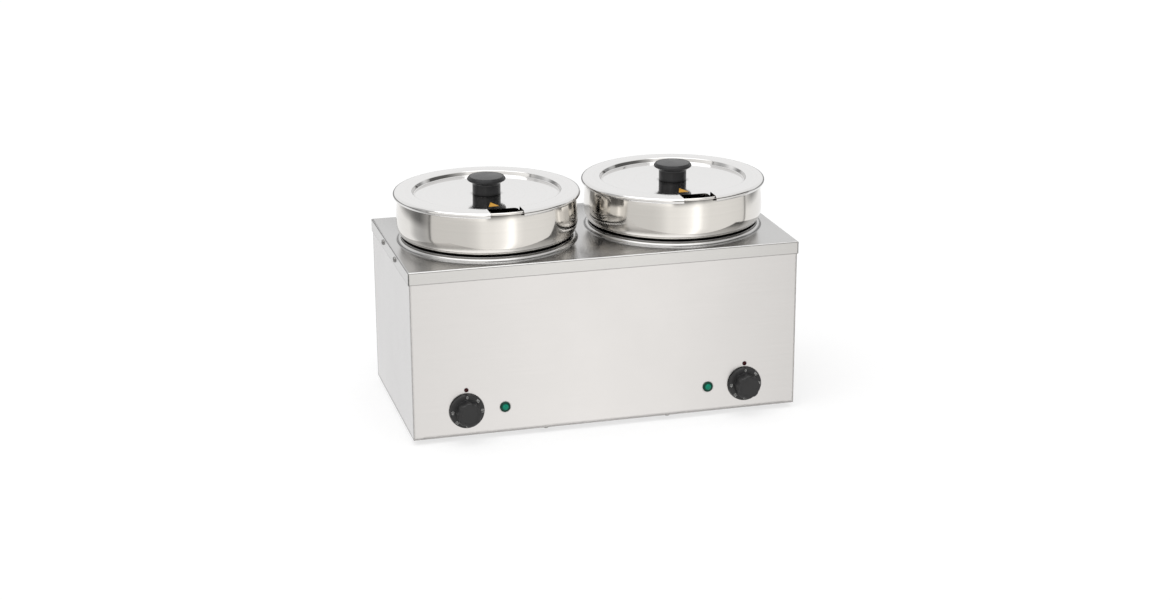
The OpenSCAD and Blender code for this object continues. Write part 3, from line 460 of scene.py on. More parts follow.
def math_in(tree, operation, *values):
    """A math node fed by sockets or numbers."""
    node = tree.nodes.new("ShaderNodeMath")
    node.operation = operation
    for socket, value in zip(node.inputs, values):
        feed(tree, socket, value)
    return node.outputs["Value"]


def vector_in(tree, operation, first, second):
    """A vector math node fed by two vectors."""
    node = tree.nodes.new("ShaderNodeVectorMath")
    node.operation = operation
    tree.links.new(first, node.inputs[0])
    tree.links.new(second, node.inputs[1])
    return node


def parts_of(tree, vector):
    """The X, Y and Z of a vector."""
    split = tree.nodes.new("ShaderNodeSeparateXYZ")
    tree.links.new(vector, split.inputs["Vector"])
    return split.outputs


def joined(tree, **parts):
    """A vector from values for its X, Y and Z."""
    node = tree.nodes.new("ShaderNodeCombineXYZ")
    for name, value in parts.items():
        tree.links.new(value, node.inputs[name])
    return node.outputs["Vector"]


def spread(tree, value, low, high, new_low=0.0, new_high=1.0):
    """A value mapped from one range to another and held inside it."""
    node = node_in(tree, "ShaderNodeMapRange", From_Min=low, From_Max=high, To_Min=new_low, To_Max=new_high)
    tree.links.new(value, node.inputs["Value"])
    return node.outputs["Result"]


def blended(tree, first, second, share):
    """Two values added up, the first with a share and the second with the rest."""
    return math_in(tree, "ADD", math_in(tree, "MULTIPLY", first, share),
                   math_in(tree, "MULTIPLY", second, 1 - share))


def axis_distance(tree, spot):
    """Distance of a point from the local Z axis, and its height along that axis."""
    parts = parts_of(tree, spot)
    across, along = (math_in(tree, "POWER", parts[name], 2.0) for name in "XY")
    return math_in(tree, "SQRT", math_in(tree, "ADD", across, along)), parts["Z"]


def noise_at(tree, vector, scale, detail, rough=0.5):
    """A noise value at a point."""
    node = node_in(tree, "ShaderNodeTexNoise", Detail=detail, Roughness=rough)
    tree.links.new(vector, node.inputs["Vector"])
    feed(tree, node.inputs["Scale"], scale)
    return node.outputs["Fac"]


def new_group(name, kind, label, value, outputs):
    """An empty shader node group with one named input, and its input and output nodes."""
    group = bpy.data.node_groups.new(name, "ShaderNodeTree")
    socket = group.interface.new_socket(label, in_out="INPUT", socket_type=kind)
    socket.default_value = value
    for output in outputs:
        group.interface.new_socket(output, in_out="OUTPUT", socket_type="NodeSocketFloat")
    entry = group.nodes.new("NodeGroupInput")
    leave = group.nodes.new("NodeGroupOutput")
    return group, entry.outputs[label], leave.inputs


def place_of(group):
    """A point on the piece, and that point moved by the piece's own place so that like pieces differ."""
    spot = group.nodes.new("ShaderNodeTexCoord").outputs["Object"]
    own = group.nodes.new("ShaderNodeObjectInfo").outputs["Location"]
    return spot, vector_in(group, "ADD", spot, own).outputs["Vector"]


def level_first(group, spot):
    """A point whose first value runs level along the face that it is on, also on the ends of the housing."""
    normal = parts_of(group, group.nodes.new("ShaderNodeTexCoord").outputs["Normal"])
    on_end = math_in(group, "GREATER_THAN", math_in(group, "ABSOLUTE", normal["X"]), END_FACING)
    parts = parts_of(group, spot)
    swapped = joined(group, X=parts["Y"], Y=parts["X"], Z=parts["Z"])
    chosen = group.nodes.new("ShaderNodeMix")
    chosen.data_type = "VECTOR"
    group.links.new(on_end, chosen.inputs["Factor"])
    for socket, point in zip(MIX_VECTORS, (spot, swapped)):
        group.links.new(point, chosen.inputs[socket])
    return chosen.outputs[MIX_VECTOR_RESULT]


def brushed_grain():
    """Fine lines and broader streaks left by brushing along one direction."""
    group, stretch, leave = new_group(
        "Brushed Grain", "NodeSocketVector", "Stretch", (1.0, 1.0, 1.0), ("Lines", "Streaks"))
    _, spot = place_of(group)
    pulled = vector_in(group, "MULTIPLY", level_first(group, spot), stretch).outputs["Vector"]
    for output, share, detail in (("Lines", 1.0, 3.0), ("Streaks", 0.12, 2.0)):
        value = noise_at(group, pulled, share, detail, 0.6)
        group.links.new(spread(group, value, 0.25, 0.75), leave[output])
    return group


def turned_rings():
    """Fine rings left by spinning and polishing a round piece about its own axis."""
    group, scale, leave = new_group(
        "Turned Rings", "NodeSocketFloat", "Scale", 2000.0, ("Rings", "Bands"))
    spot, _ = place_of(group)
    radius, height = axis_distance(group, spot)
    section = joined(group, X=radius, Y=height)
    for output, share in (("Rings", 1.0), ("Bands", 0.08)):
        value = noise_at(group, section, math_in(group, "MULTIPLY", scale, share), 2.0)
        group.links.new(spread(group, value, 0.25, 0.75), leave[output])
    return group


def handling_marks():
    """Soft cloudy marks left by wiping and handling."""
    group, scale, leave = new_group("Handling Marks", "NodeSocketFloat", "Scale", 12.0, ("Marks",))
    _, spot = place_of(group)
    group.links.new(spread(group, noise_at(group, spot, scale, 5.0, 0.6), 0.35, 0.7), leave["Marks"])
    return group


def moulded_skin():
    """The fine pebbled skin of moulded plastic and rubber."""
    group, scale, leave = new_group(
        "Moulded Skin", "NodeSocketFloat", "Scale", 2500.0, ("Pebble", "Patches"))
    _, spot = place_of(group)
    patches = noise_at(group, spot, math_in(group, "MULTIPLY", scale, 0.02), 3.0)
    group.links.new(noise_at(group, spot, scale, 2.0), leave["Pebble"])
    group.links.new(spread(group, patches, 0.3, 0.7), leave["Patches"])
    return group


def edge_wear_and_painted_shade():
    """Masks of the outer edges: whole lines, used as painted shade along a sheet's edges, and lines broken up
    as wear is.
    """
    group, width, leave = new_group("Worn Edges", "NodeSocketFloat", "Width", 0.0005, ("Edge", "Line"))
    _, spot = place_of(group)
    rounded = group.nodes.new("ShaderNodeBevel")
    rounded.samples = 4
    group.links.new(width, rounded.inputs["Radius"])
    true = group.nodes.new("ShaderNodeNewGeometry")
    likeness = vector_in(group, "DOT_PRODUCT", rounded.outputs["Normal"], true.outputs["Normal"])
    edge = spread(group, likeness.outputs["Value"], 0.98, 0.8)
    broken = spread(group, noise_at(group, spot, 700.0, 3.0), 0.35, 0.65, 0.2)
    group.links.new(math_in(group, "MULTIPLY", edge, broken), leave["Edge"])
    group.links.new(edge, leave["Line"])
    return group


def painted_crevice_shade():
    """1 where a surface lies open and 0 deep in corners and between parts: a mask for painted shade where
    light doesn't reach.
    """
    group, reach, leave = new_group("Crevices", "NodeSocketFloat", "Reach", 0.003, ("Open",))
    near = group.nodes.new("ShaderNodeAmbientOcclusion")
    near.samples = 8
    group.links.new(reach, near.inputs["Distance"])
    group.links.new(spread(group, near.outputs["AO"], 0.3, 0.8), leave["Open"])
    return group


GROUP_MAKERS = {
    "Brushed Grain": brushed_grain,
    "Turned Rings": turned_rings,
    "Handling Marks": handling_marks,
    "Moulded Skin": moulded_skin,
    "Worn Edges": edge_wear_and_painted_shade,
    "Crevices": painted_crevice_shade,
}


def effect(tree, name, **inputs):
    """The outputs of a shared effect placed in a material with its own values."""
    node = tree.nodes.new("ShaderNodeGroup")
    node.node_tree = bpy.data.node_groups.get(name) or GROUP_MAKERS[name]()
    for label, value in inputs.items():
        node.inputs[label].default_value = value
    return node.outputs


# Finishes


def empty_material(name):
    """A material without nodes, and its node tree."""
    material = bpy.data.materials.new(name)
    material.use_nodes = True
    material.node_tree.nodes.clear()
    return material, material.node_tree


def surfaced(tree, result, kind="ShaderNodeOutputMaterial"):
    """A shader's result led to the output of a material or of the sky."""
    output = tree.nodes.new(kind)
    tree.links.new(result, output.inputs["Surface"])


def new_finish(name, **inputs):
    """A material with one Principled shader and values for its inputs."""
    material, tree = empty_material(name)
    shader = node_in(tree, "ShaderNodeBsdfPrincipled", **inputs)
    surfaced(tree, shader.outputs["BSDF"])
    return material, tree, shader


def mixed_colour(tree, factor, first, second):
    """A colour between two, each a plain colour or the output of another node."""
    mix = tree.nodes.new("ShaderNodeMix")
    mix.data_type = "RGBA"
    for socket, colour in zip(MIX_COLOURS, (first, second)):
        feed(tree, mix.inputs[socket], (*colour, 1.0) if isinstance(colour, tuple) else colour)
    tree.links.new(factor, mix.inputs["Factor"])
    return mix.outputs[MIX_COLOUR_RESULT]


def tinted(tree, shader, factor, dark, light, unshaded_share=None):
    """Base colour that runs between two colours with a factor, and is darkened towards a painted shade where
    the unshaded share is low.
    """
    colour = mixed_colour(tree, factor, dark, light)
    if unshaded_share:
        # painted shade: the colour falls to a dark share of itself where the surface counts as shaded
        colour = mixed_colour(tree, unshaded_share, shaded(dark, CREVICE_SHADE), colour)
    tree.links.new(colour, shader.inputs["Base Color"])


def roughened(tree, shader, factor, smooth, rough, marks=None, mark_share=0.0):
    """Roughness that runs between two values with a factor, with a share of wiping marks on top."""
    value = spread(tree, factor, 0.0, 1.0, smooth, rough)
    if marks:
        value = math_in(tree, "ADD", value, math_in(tree, "MULTIPLY", marks, mark_share))
    tree.links.new(value, shader.inputs["Roughness"])


def embossed(tree, shader, height, distance_m, strength):
    """Small relief from a height value."""
    bump = node_in(tree, "ShaderNodeBump", Strength=strength, Distance=distance_m)
    tree.links.new(height, bump.inputs["Height"])
    tree.links.new(bump.outputs["Normal"], shader.inputs["Normal"])


def shaded(colour, share):
    """A colour made darker or lighter by a share."""
    return tuple(min(1.0, c * share) for c in colour)


def brushed_steel(name, colour, edge, roughness=0.22, depth=0.000003):
    """Satin steel with level grain, painted shade in corners and a painted dark line along its edges for
    shaded seams and the dark reflection in its bends.
    """
    material, tree, shader = new_finish(name, Metallic=1.0)
    grain = effect(tree, "Brushed Grain", Stretch=GRAIN)
    marks = effect(tree, "Handling Marks", Scale=9.0)
    # painted shade near the skirt and other parts, and a painted dark line along the sheet's edges
    painted_shade = effect(tree, "Crevices", Reach=0.0022)
    shade_line = effect(tree, "Worn Edges", Width=edge)
    bright = math_in(tree, "MULTIPLY", painted_shade["Open"],
                     spread(tree, shade_line["Line"], 0.0, 1.0, 1.0, SHADE_LINE_OPEN))
    lined = blended(tree, grain["Lines"], grain["Streaks"], 0.7)
    tinted(tree, shader, lined, shaded(colour, 0.97), shaded(colour, 1.03), bright)
    roughened(tree, shader, lined, roughness - 0.02, roughness + 0.02, marks["Marks"], 0.03)
    embossed(tree, shader, grain["Lines"], depth, 0.12)
    return material


def polished_steel(name, colour, roughness, ring_scale=3000.0):
    """Mirror-polished steel with faint turning rings, wiping marks and painted shade in corners and where
    parts meet.
    """
    material, tree, shader = new_finish(name, Metallic=1.0)
    rings = effect(tree, "Turned Rings", Scale=ring_scale)
    marks = effect(tree, "Handling Marks", Scale=16.0)
    # painted shade where parts meet, such as under the lid's rim
    painted_shade = effect(tree, "Crevices", Reach=0.008)
    tinted(tree, shader, rings["Bands"], shaded(colour, 0.98), shaded(colour, 1.02), painted_shade["Open"])
    roughened(tree, shader, rings["Rings"], roughness, roughness * 1.5, marks["Marks"], roughness * 0.8)
    embossed(tree, shader, rings["Rings"], 0.000002, 0.3)
    return material


def plain_metal(name, colour, roughness):
    """Drawn or machined metal of small parts."""
    material, tree, shader = new_finish(name, Metallic=1.0)
    marks = effect(tree, "Handling Marks", Scale=180.0)
    worn = effect(tree, "Worn Edges", Width=0.0004)
    shown = math_in(tree, "MAXIMUM", marks["Marks"], worn["Edge"])
    tinted(tree, shader, shown, shaded(colour, 0.85), shaded(colour, 1.1))
    roughened(tree, shader, marks["Marks"], roughness - 0.06, roughness + 0.1)
    return material


def moulded(name, colour, roughness, skin_scale=2500.0, relief=0.00002, edge_share=2.2, gloss=0.5):
    """Moulded plastic or rubber with a pebbled skin, paler worn edges and painted shade in its corners."""
    material, tree, shader = new_finish(name, Metallic=0.0, IOR=1.5, Specular_IOR_Level=gloss)
    texture = effect(tree, "Moulded Skin", Scale=skin_scale)
    worn = effect(tree, "Worn Edges", Width=0.0006)
    # painted shade in corners, such as at the foot of a dial's grip
    painted_shade = effect(tree, "Crevices", Reach=0.007)
    shown = blended(tree, texture["Patches"], worn["Edge"], 0.25)
    tinted(tree, shader, shown, shaded(colour, 0.9), shaded(colour, edge_share), painted_shade["Open"])
    roughened(tree, shader, texture["Patches"], roughness - 0.05, roughness + 0.07)
    embossed(tree, shader, texture["Pebble"], relief, 0.5)
    return material


def lamp_plastic(name, colour, lamp):
    """Clear green plastic over a dim lamp, with the lamp's glow painted into its colour: bright in the
    middle, dark in the thick rim.
    """
    material, tree, shader = new_finish(name, Metallic=0.0, IOR=1.49, Specular_IOR_Level=0.2)
    marks = effect(tree, "Handling Marks", Scale=400.0)
    radius, _ = axis_distance(tree, tree.nodes.new("ShaderNodeTexCoord").outputs["Object"])
    # painted glow: the base colour is lighter in the middle of the lens and darker at its rim
    glow = spread(tree, radius, lamp.glow_end, lamp.glow_full)
    clouded = math_in(tree, "MULTIPLY", glow, spread(tree, marks["Marks"], 0.0, 1.0, 0.8))
    tinted(tree, shader, clouded, shaded(colour, 0.24), shaded(colour, 1.35))
    roughened(tree, shader, marks["Marks"], 0.1, 0.2)
    return material


def make_finish(slot):
    """The material of a record slot, made when it is first asked for."""
    name = "hotpot_" + slot
    made = bpy.data.materials.get(name)
    if made:
        return made
    settings = bpy.context.scene.hotpot
    tones = settings.finish
    printed = {"skin_scale": 3000.0, "edge_share": 1.1}
    wire = {"roughness": 0.45, "skin_scale": 3000.0, "relief": 0.000006, "edge_share": 1.3}
    makers = {
        # edge is the width of the painted shade line along the steel's edges
        "satin_steel": lambda: brushed_steel(name, tones.panel, edge=0.0045),
        "deck_steel": lambda: brushed_steel(name, tones.deck, edge=0.0022),
        "well_steel": lambda: polished_steel(name, shaded(tones.polish, 0.9), 0.2, ring_scale=2500.0),
        "polished_pot": lambda: polished_steel(name, tones.pot, 0.06),
        "polished_lid": lambda: polished_steel(name, tones.polish, 0.05),
        "knob_black": lambda: moulded(name, shaded(tones.black, 1.3), 0.2, gloss=0.16),
        "dial_black": lambda: moulded(name, tones.black, 0.33, gloss=0.35),
        "dial_white": lambda: moulded(name, tones.figures, 0.5, relief=0.000005, **printed),
        "lamp_green": lambda: lamp_plastic(name, tones.lamp, settings.lamp),
        "index_red": lambda: moulded(name, tones.index, 0.4, skin_scale=4000.0, relief=0.000004,
                                     edge_share=1.6, gloss=0.15),
        "label_yellow": lambda: moulded(name, tones.label, 0.45, relief=0.000004, **printed),
        "foot_rubber": lambda: moulded(name, tones.foot, 0.75),
        "screw_steel": lambda: plain_metal(name, tones.screw, 0.28),
        "element_steel": lambda: plain_metal(name, tones.element, 0.4),
        "clamp_aluminium": lambda: plain_metal(name, tones.clamp, 0.38),
        "moulding_dark": lambda: moulded(name, tones.dark, 0.5),
        "gland_rubber": lambda: moulded(name, tones.seal, 0.7),
        "copper": lambda: plain_metal(name, tones.copper, 0.32),
        "moulding_white": lambda: moulded(name, tones.pale, 0.48, skin_scale=2000.0, relief=0.00001,
                                          edge_share=1.1),
        "brass": lambda: plain_metal(name, tones.brass, 0.3),
        "wire_brown": lambda: moulded(name, tones.wire, **wire),
        "wire_earth": lambda: moulded(name, tones.earth, **wire),
    }
    return makers[slot]()


# Outlines


def pot_outline(pot, low, rim_height, shoulder):
    """Section of a pot from the middle of its base, up the outside, round the rim and down inside."""
    foot = (pot.body_radius - pot.foot_corner, low + pot.foot_corner)
    under = (pot.body_radius + pot.fillet, shoulder - pot.fillet)
    corner = (pot.wall_radius - pot.wall_corner, shoulder + pot.corner_height)
    bead = (pot.neck_radius - pot.sheet + pot.bead, rim_height - pot.bead)
    rise = bead[1] - corner[1]
    drop = pot.wall_radius - pot.neck_radius
    bow = (rise ** 2 + drop ** 2) / (2 * drop)
    lean = math.degrees(math.asin(rise / bow))
    bow_centre = (pot.wall_radius - bow, corner[1])
    meets = math.acos((pot.neck_radius - bead[0]) / pot.bead)
    below_bead = bead[1] - pot.bead * math.sin(meets)
    wall = [p for p in arc(bow_centre, bow, 0, lean, 48)[1:] if p[1] < below_bead]
    inner_wall = [p for p in arc(bow_centre, bow - pot.sheet, lean, 0, 48) if p[1] < bead[1]]
    return ([(0.0, low)] + arc(foot, pot.foot_corner, -90, 0, 16) + arc(under, pot.fillet, 180, 90, 10)
            + oval(corner, pot.wall_corner, pot.corner_height, -90, 0, 24) + wall
            + arc(bead, pot.bead, -math.degrees(meets), 180, 28) + inner_wall
            + oval(corner, pot.wall_corner - pot.sheet, pot.corner_height - pot.sheet, 0, -90, 24)[1:]
            + arc(under, pot.fillet + pot.sheet, 90, 180, 10)
            + arc(foot, pot.foot_corner - pot.sheet, 0, -90, 16) + [(0.0, low + pot.sheet)])


def lid_outline(lid, top, radius):
    """Section of a lid from the screw hole to the lip and back underneath."""
    floor = top - lid.recess_depth
    lean = math.degrees(lid.recess_slope)
    bend = lid.recess_fillet
    half = bend * math.cos(lid.recess_slope)
    half += (lid.recess_depth / 2 - bend * (1 - math.sin(lid.recess_slope))) * math.tan(lid.recess_slope)
    inner = (lid.recess_radius - half, floor + bend)
    outer = (lid.recess_radius + half, top - bend)
    edge = (radius - lid.edge, top - lid.edge)
    tuck = math.degrees(lid.tuck)
    lip = arc(edge, lid.edge - lid.sheet / 2, -tuck, -tuck, 1)[0]
    above = ([(lid.hole, floor)] + arc(inner, bend, -90, -lean, 10) + arc(outer, bend, 180 - lean, 90, 10)
             + arc(edge, lid.edge, 90, -tuck, 32))
    below = (arc(edge, lid.edge - lid.sheet, -tuck, 90, 32) + arc(outer, bend - lid.sheet, 90, 180 - lean, 10)
             + arc(inner, bend + lid.sheet, -lean, -90, 10) + [(lid.hole, floor - lid.sheet)])
    return above + arc(lip, lid.sheet / 2, -tuck, -tuck - 180, 8)[1:-1] + below


def notch_outline(lid, radius):
    """Outline of the ladle notch, with rounded inner corners and sides that flare at the lip."""
    half = lid.notch_width / 2
    inside = -(radius - lid.notch_depth)
    right = arc((half - lid.notch_corner, inside - lid.notch_corner), lid.notch_corner, 90, 0, 10)
    right += arc((half + lid.edge, lid.edge - radius), lid.edge, 180, 270, 12)
    right.append((half + lid.edge, -radius - lid.edge))
    return right + [(-x, y) for x, y in reversed(right)]


def knob_outline(knob, low, high, cap):
    """Section of a lid knob from the middle of its foot to the middle of its domed top."""
    neck = knob.neck_diameter / 2
    foot = (neck - knob.foot_round, low + knob.foot_round)
    hollow = (neck + knob.hollow, high - knob.cap_height)
    edge = (cap - knob.edge, high - knob.edge_drop)
    rim = cap - knob.top_inset
    level = high - knob.dome
    step = knob.groove / 2
    groove = [(rim - i * step, level - drop * step) for i, drop in enumerate(KNOB_GROOVE_DROPS)]
    inner = rim - len(KNOB_GROOVE_DROPS) * step
    dome = [(inner * share, high - knob.dome * (inner * share / rim) ** 2) for share in KNOB_DOME_SHARES]
    return ([(0.0, low)] + arc(foot, knob.foot_round, -90, 0, 4)
            + arc(hollow, knob.hollow, 180, math.degrees(knob.hollow_end), 12)
            + arc(edge, knob.edge, math.degrees(knob.edge_from), math.degrees(knob.edge_to), 14)
            + groove + dome + [(0.0, high)])


def grip_radius(dial, angle):
    """Radius of the scalloped grip at an angle round the dial."""
    full = dial.grip_diameter / 2
    pitch = 2 * math.pi / dial.scallops
    off = (angle % pitch) - pitch / 2
    reach = full + dial.scallop_radius - dial.scallop_depth
    inside = dial.scallop_radius ** 2 - (reach * math.sin(off)) ** 2
    hollow = reach * math.cos(off) - math.sqrt(inside) if inside > 0 else math.inf
    gap = max(dial.lobe_soft - abs(full - hollow), 0.0) / dial.lobe_soft
    return min(full, hollow) - gap * gap * dial.lobe_soft / 4


def grip_section(dial, height):
    """Section of a grip as (distance outside its lobes, height): foot, front edge and dished face."""
    foot, edge = dial.grip_foot, dial.grip_round
    inset = edge + dial.face_margin
    dish = [(-inset - step, height - dial.face_dish * share) for step, share in DISH_RINGS]
    return (arc((foot, dial.plate + foot), foot, 270, 180, 4)
            + arc((-edge, height - edge), edge, 0, 90, 10) + dish)


# Operators


class HOTPOT_OT_finish_housing(bpy.types.Operator):
    """Give every CAD piece the finish of its record slot"""

    bl_idname = "hotpot.finish_housing"
    bl_label = "Finish CAD Pieces"

    def execute(self, context):
        for node in NODES.values():
            if not node.data.materials:
                raise RuntimeError("no material slot on " + node.name)
            slot = node.data.materials[0].name.split(".")[0]
            for index in range(len(node.data.materials)):
                node.data.materials[index] = make_finish(slot)
        return {"FINISHED"}


class HOTPOT_OT_make_pots(bpy.types.Operator):
    """Turn the two polished pots"""

    bl_idname = "hotpot.make_pots"
    bl_label = "Pots"

    def execute(self, context):
        pot = context.scene.hotpot.pot
        for side in SIDES:
            node = side + "_pot"
            low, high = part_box(node)
            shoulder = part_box(side + "_well")[1].z + pot.seat_gap
            outline = pot_outline(pot, low.z, high.z, shoulder)
            mesh = to_mesh(turned(outline, pot.steps), side + "_soup_pot")
            placed(mesh, upright_on(node), node, node, "polished_pot")
        return {"FINISHED"}


class HOTPOT_OT_make_lids(bpy.types.Operator):
    """Turn the two lids and cut their ladle notches"""

    bl_idname = "hotpot.make_lids"
    bl_label = "Lids"

    def execute(self, context):
        lid = context.scene.hotpot.lid
        for side in SIDES:
            node = side + "_lid"
            low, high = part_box(node)
            radius = radius_of(node)
            blank = turned(lid_outline(lid, high.z, radius), lid.steps)
            notch = prism(notch_outline(lid, radius), low.z - lid.edge, high.z + lid.edge)
            mesh = to_mesh(cut(blank, notch, side + "_lid_blank"), side + "_pot_lid")
            placed(mesh, upright_on(side + "_pot"), node, node, "polished_lid")
        return {"FINISHED"}


class HOTPOT_OT_make_knobs(bpy.types.Operator):
    """Turn the two lid knobs"""

    bl_idname = "hotpot.make_knobs"
    bl_label = "Lid Knobs"

    def execute(self, context):
        knob = context.scene.hotpot.knob
        for side in SIDES:
            node = side + "_lid_knob"
            low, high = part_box(node)
            outline = knob_outline(knob, low.z, high.z, radius_of(node))
            mesh = to_mesh(turned(outline, knob.steps), side + "_mushroom_knob")
            placed(mesh, upright_on(node), side + "_lid", node, "knob_black")
        return {"FINISHED"}


class HOTPOT_OT_make_dials(bpy.types.Operator):
    """Model the scalloped control dials with their figures"""

    bl_idname = "hotpot.make_dials"
    bl_label = "Control Dials"

    def execute(self, context):
        dial = context.scene.hotpot.dial
        for side in SIDES:
            node = side + "_dial"
            low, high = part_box(node)
            spot = on_front(node, high.y)
            mesh = to_mesh(self.form(dial, radius_of(node), high.y - low.y), side + "_control_dial")
            placed(mesh, spot, side + "_control", node, "dial_black")
            mesh = self.figures(dial, radius_of(node), side + "_dial_figures")
            placed(mesh, spot, side + "_control", side + "_dial_marks", "dial_white")
        return {"FINISHED"}

    def form(self, dial, radius, height):
        """The dial's mesh, with its back at local height 0."""
        bm = bmesh.new()
        edge = (radius - dial.taper - dial.plate_round, dial.plate - dial.plate_round)
        plate = [(0.0, 0.0), (radius - dial.back_bevel, 0.0), (radius, dial.back_bevel)]
        plate += arc(edge, dial.plate_round, 5, 90, 6)
        rings = [ring(bm, r, z, dial.steps) for r, z in plate]
        angles = [2 * math.pi * k / dial.steps for k in range(dial.steps)]
        lobes = [(grip_radius(dial, angle), angle) for angle in angles]
        for out, z in grip_section(dial, height):
            spots = [((r + out) * math.cos(a), (r + out) * math.sin(a), z) for r, a in lobes]
            rings.append([bm.verts.new(spot) for spot in spots])
        rings += [ring(bm, r, height - dial.face_dish, dial.steps) for r in (dial.face_middle, 0.0)]
        skins(bm, rings)
        return bm

    def figures(self, dial, radius, name):
        """The dial's printed figures as one mesh, with the off figure at the top."""
        bm = bmesh.new()
        middle = (dial.grip_diameter / 2 + radius - dial.taper) / 2
        for text, degrees in DIAL_FIGURES:
            curve = bpy.data.curves.new(name + text, "FONT")
            curve.body = text
            curve.align_x = "CENTER"
            curve.align_y = "CENTER"
            curve.size = dial.figure_height / FIGURE_SHARE
            curve.extrude = dial.figure_raise / 2
            writer = added(curve.name, curve)
            seen = writer.evaluated_get(bpy.context.evaluated_depsgraph_get())
            letters = bpy.data.meshes.new_from_object(seen)
            turned_by = Matrix.Rotation(math.radians(degrees), 4, "Z")
            letters.transform(turned_by @ Matrix.Translation((0, middle, dial.plate + dial.figure_raise / 2)))
            bm.from_mesh(letters)
            bpy.data.objects.remove(writer)
            bpy.data.curves.remove(curve)
            bpy.data.meshes.remove(letters)
        bmesh.ops.remove_doubles(bm, verts=bm.verts, dist=WELD)
        return to_mesh(bm, name)


class HOTPOT_OT_make_lamps(bpy.types.Operator):
    """Turn the green signal lamps and the red index dots"""

    bl_idname = "hotpot.make_lamps"
    bl_label = "Signal Lamps"

    def execute(self, context):
        lamp = context.scene.hotpot.lamp
        panel_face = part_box("front_panel")[0].y
        for side in SIDES:
            self.lens(lamp, side, panel_face)
            self.dot(lamp, side, panel_face)
        return {"FINISHED"}

    def lens(self, lamp, side, panel_face):
        """A lamp's lens with ring prisms inside a round rim, and the barrel behind the panel."""
        node = side + "_lamp_lens"
        radius = radius_of(node)
        back = panel_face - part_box(node)[1].y
        barrel = radius - lamp.rim_overhang
        field = radius * lamp.field
        rim = arc((radius - lamp.rim_round, lamp.rim - lamp.rim_round), lamp.rim_round, 0, 90, 8)
        rim.append((field + lamp.field_gap, lamp.rim - lamp.prism_drop))
        lens = []
        for k in range(lamp.prisms):
            outer = field * (1 - k / lamp.prisms)
            inner = field * (1 - (k + lamp.prism_face) / lamp.prisms)
            height = lamp.rim + lamp.dome * math.sqrt(1 - (outer / field) ** 2 * lamp.roundness)
            lens += [(outer, height - lamp.prism_drop), (inner, height + lamp.prism_rise)]
        lens[-1] = (0.0, lens[-1][1])
        outline = [(0.0, back), (barrel, back), (barrel, 0.0), (radius, 0.0)] + rim + lens
        mesh = to_mesh(turned(outline, lamp.steps), side + "_signal_lens")
        placed(mesh, on_front(node, panel_face), HOUSING, node, "lamp_green")

    def dot(self, lamp, side, panel_face):
        """An index dot with a domed head and its stem through the panel."""
        node = side + "_index_dot"
        low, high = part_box(node)
        radius = radius_of(node)
        back = panel_face - high.y
        head = panel_face - low.y
        stem = radius / 2
        outline = [(0.0, back), (stem, back), (stem, 0.0), (radius, 0.0)]
        outline += oval((0.0, lamp.dot_rim), radius, head - lamp.dot_rim, 0, 84, 14) + [(0.0, head)]
        mesh = to_mesh(turned(outline, lamp.steps), side + "_red_index")
        placed(mesh, on_front(node, panel_face), HOUSING, node, "index_red")


class HOTPOT_OT_make_deck(bpy.types.Operator):
    """Fold the deck with its skirt, corner slits and raised collars"""

    bl_idname = "hotpot.make_deck"
    bl_label = "Deck"

    def execute(self, context):
        deck = context.scene.hotpot.deck
        low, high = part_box("deck")
        top = high.z - deck.collar_height
        bm = bmesh.new()
        self.fold(bm, deck, low, high, top)
        for side in SIDES:
            self.collar(bm, deck, centre_of(side + "_well").x, top)
        bmesh.ops.remove_doubles(bm, verts=bm.verts, dist=WELD)
        for z in (top, top - deck.sheet):
            open_edges = [edge for edge in bm.edges
                          if edge.is_boundary and all(abs(v.co.z - z) < WELD for v in edge.verts)]
            bmesh.ops.triangle_fill(bm, edges=open_edges, use_beauty=True)
        mesh = to_mesh(cut(bm, self.slits(deck, low, high, top), "deck_blank"), "folded_deck")
        placed(mesh, Matrix.Identity(4), HOUSING, "deck", "deck_steel")
        return {"FINISHED"}

    def fold(self, bm, deck, low, high, top):
        """The bent edges and the skirt, outside and inside, as rectangles one inside another."""
        centre = (deck.bend, top - deck.bend)
        outer = arc(centre, deck.bend, 90, 180, 12)
        inner = arc(centre, deck.bend - deck.sheet, 180, 90, 12)
        loops = []
        for inset, z in outer + [(0.0, low.z), (deck.sheet, low.z)] + inner:
            corners = [(low.x + inset, low.y + inset), (high.x - inset, low.y + inset),
                       (high.x - inset, high.y - inset), (low.x + inset, high.y - inset)]
            loops.append([bm.verts.new((x, y, z)) for x, y in corners])
        skins(bm, loops)

    def collar(self, bm, deck, x, top):
        """A raised collar with a rounded crest, its underside and the edge of the opening."""
        height, sheet, radius, fillet = deck.collar_height, deck.sheet, deck.collar_radius, deck.collar_fillet
        crest = (radius - height, top)
        foot = (radius + fillet, top + fillet)
        above_fillet = top + fillet * 0.9
        outline = arc(foot, fillet, 270, 180, 5)
        outline += [p for p in arc(crest, height, 0, 90, 20) if p[1] > above_fillet]
        outline += [(deck.opening_radius, top + height), (deck.opening_radius, top + height - sheet)]
        outline += arc(crest, height - sheet, 90, 0, 16) + [(radius - sheet, top - sheet)]
        skins(bm, [ring(bm, r, z, deck.steps, x) for r, z in outline])

    def slits(self, deck, low, high, top):
        """Thin blocks across the four folded corners, below the bend."""
        bm = bmesh.new()
        reach = 3 * deck.sheet
        half = deck.slit / 2
        outline = [(-reach, -half), (reach, -half), (reach, half), (-reach, half)]
        for x, y in ((low.x, low.y), (high.x, low.y), (high.x, high.y), (low.x, high.y)):
            block = prism(outline, low.z - reach, top - deck.bend - deck.slit_end)
            angle = math.radians(45) if x * y > 0 else math.radians(-45)
            block.transform(Matrix.Translation((x, y, 0)) @ Matrix.Rotation(angle, 4, "Z"))
            piece = bpy.data.meshes.new("slit")
            block.to_mesh(piece)
            block.free()
            bm.from_mesh(piece)
            bpy.data.meshes.remove(piece)
        return bm


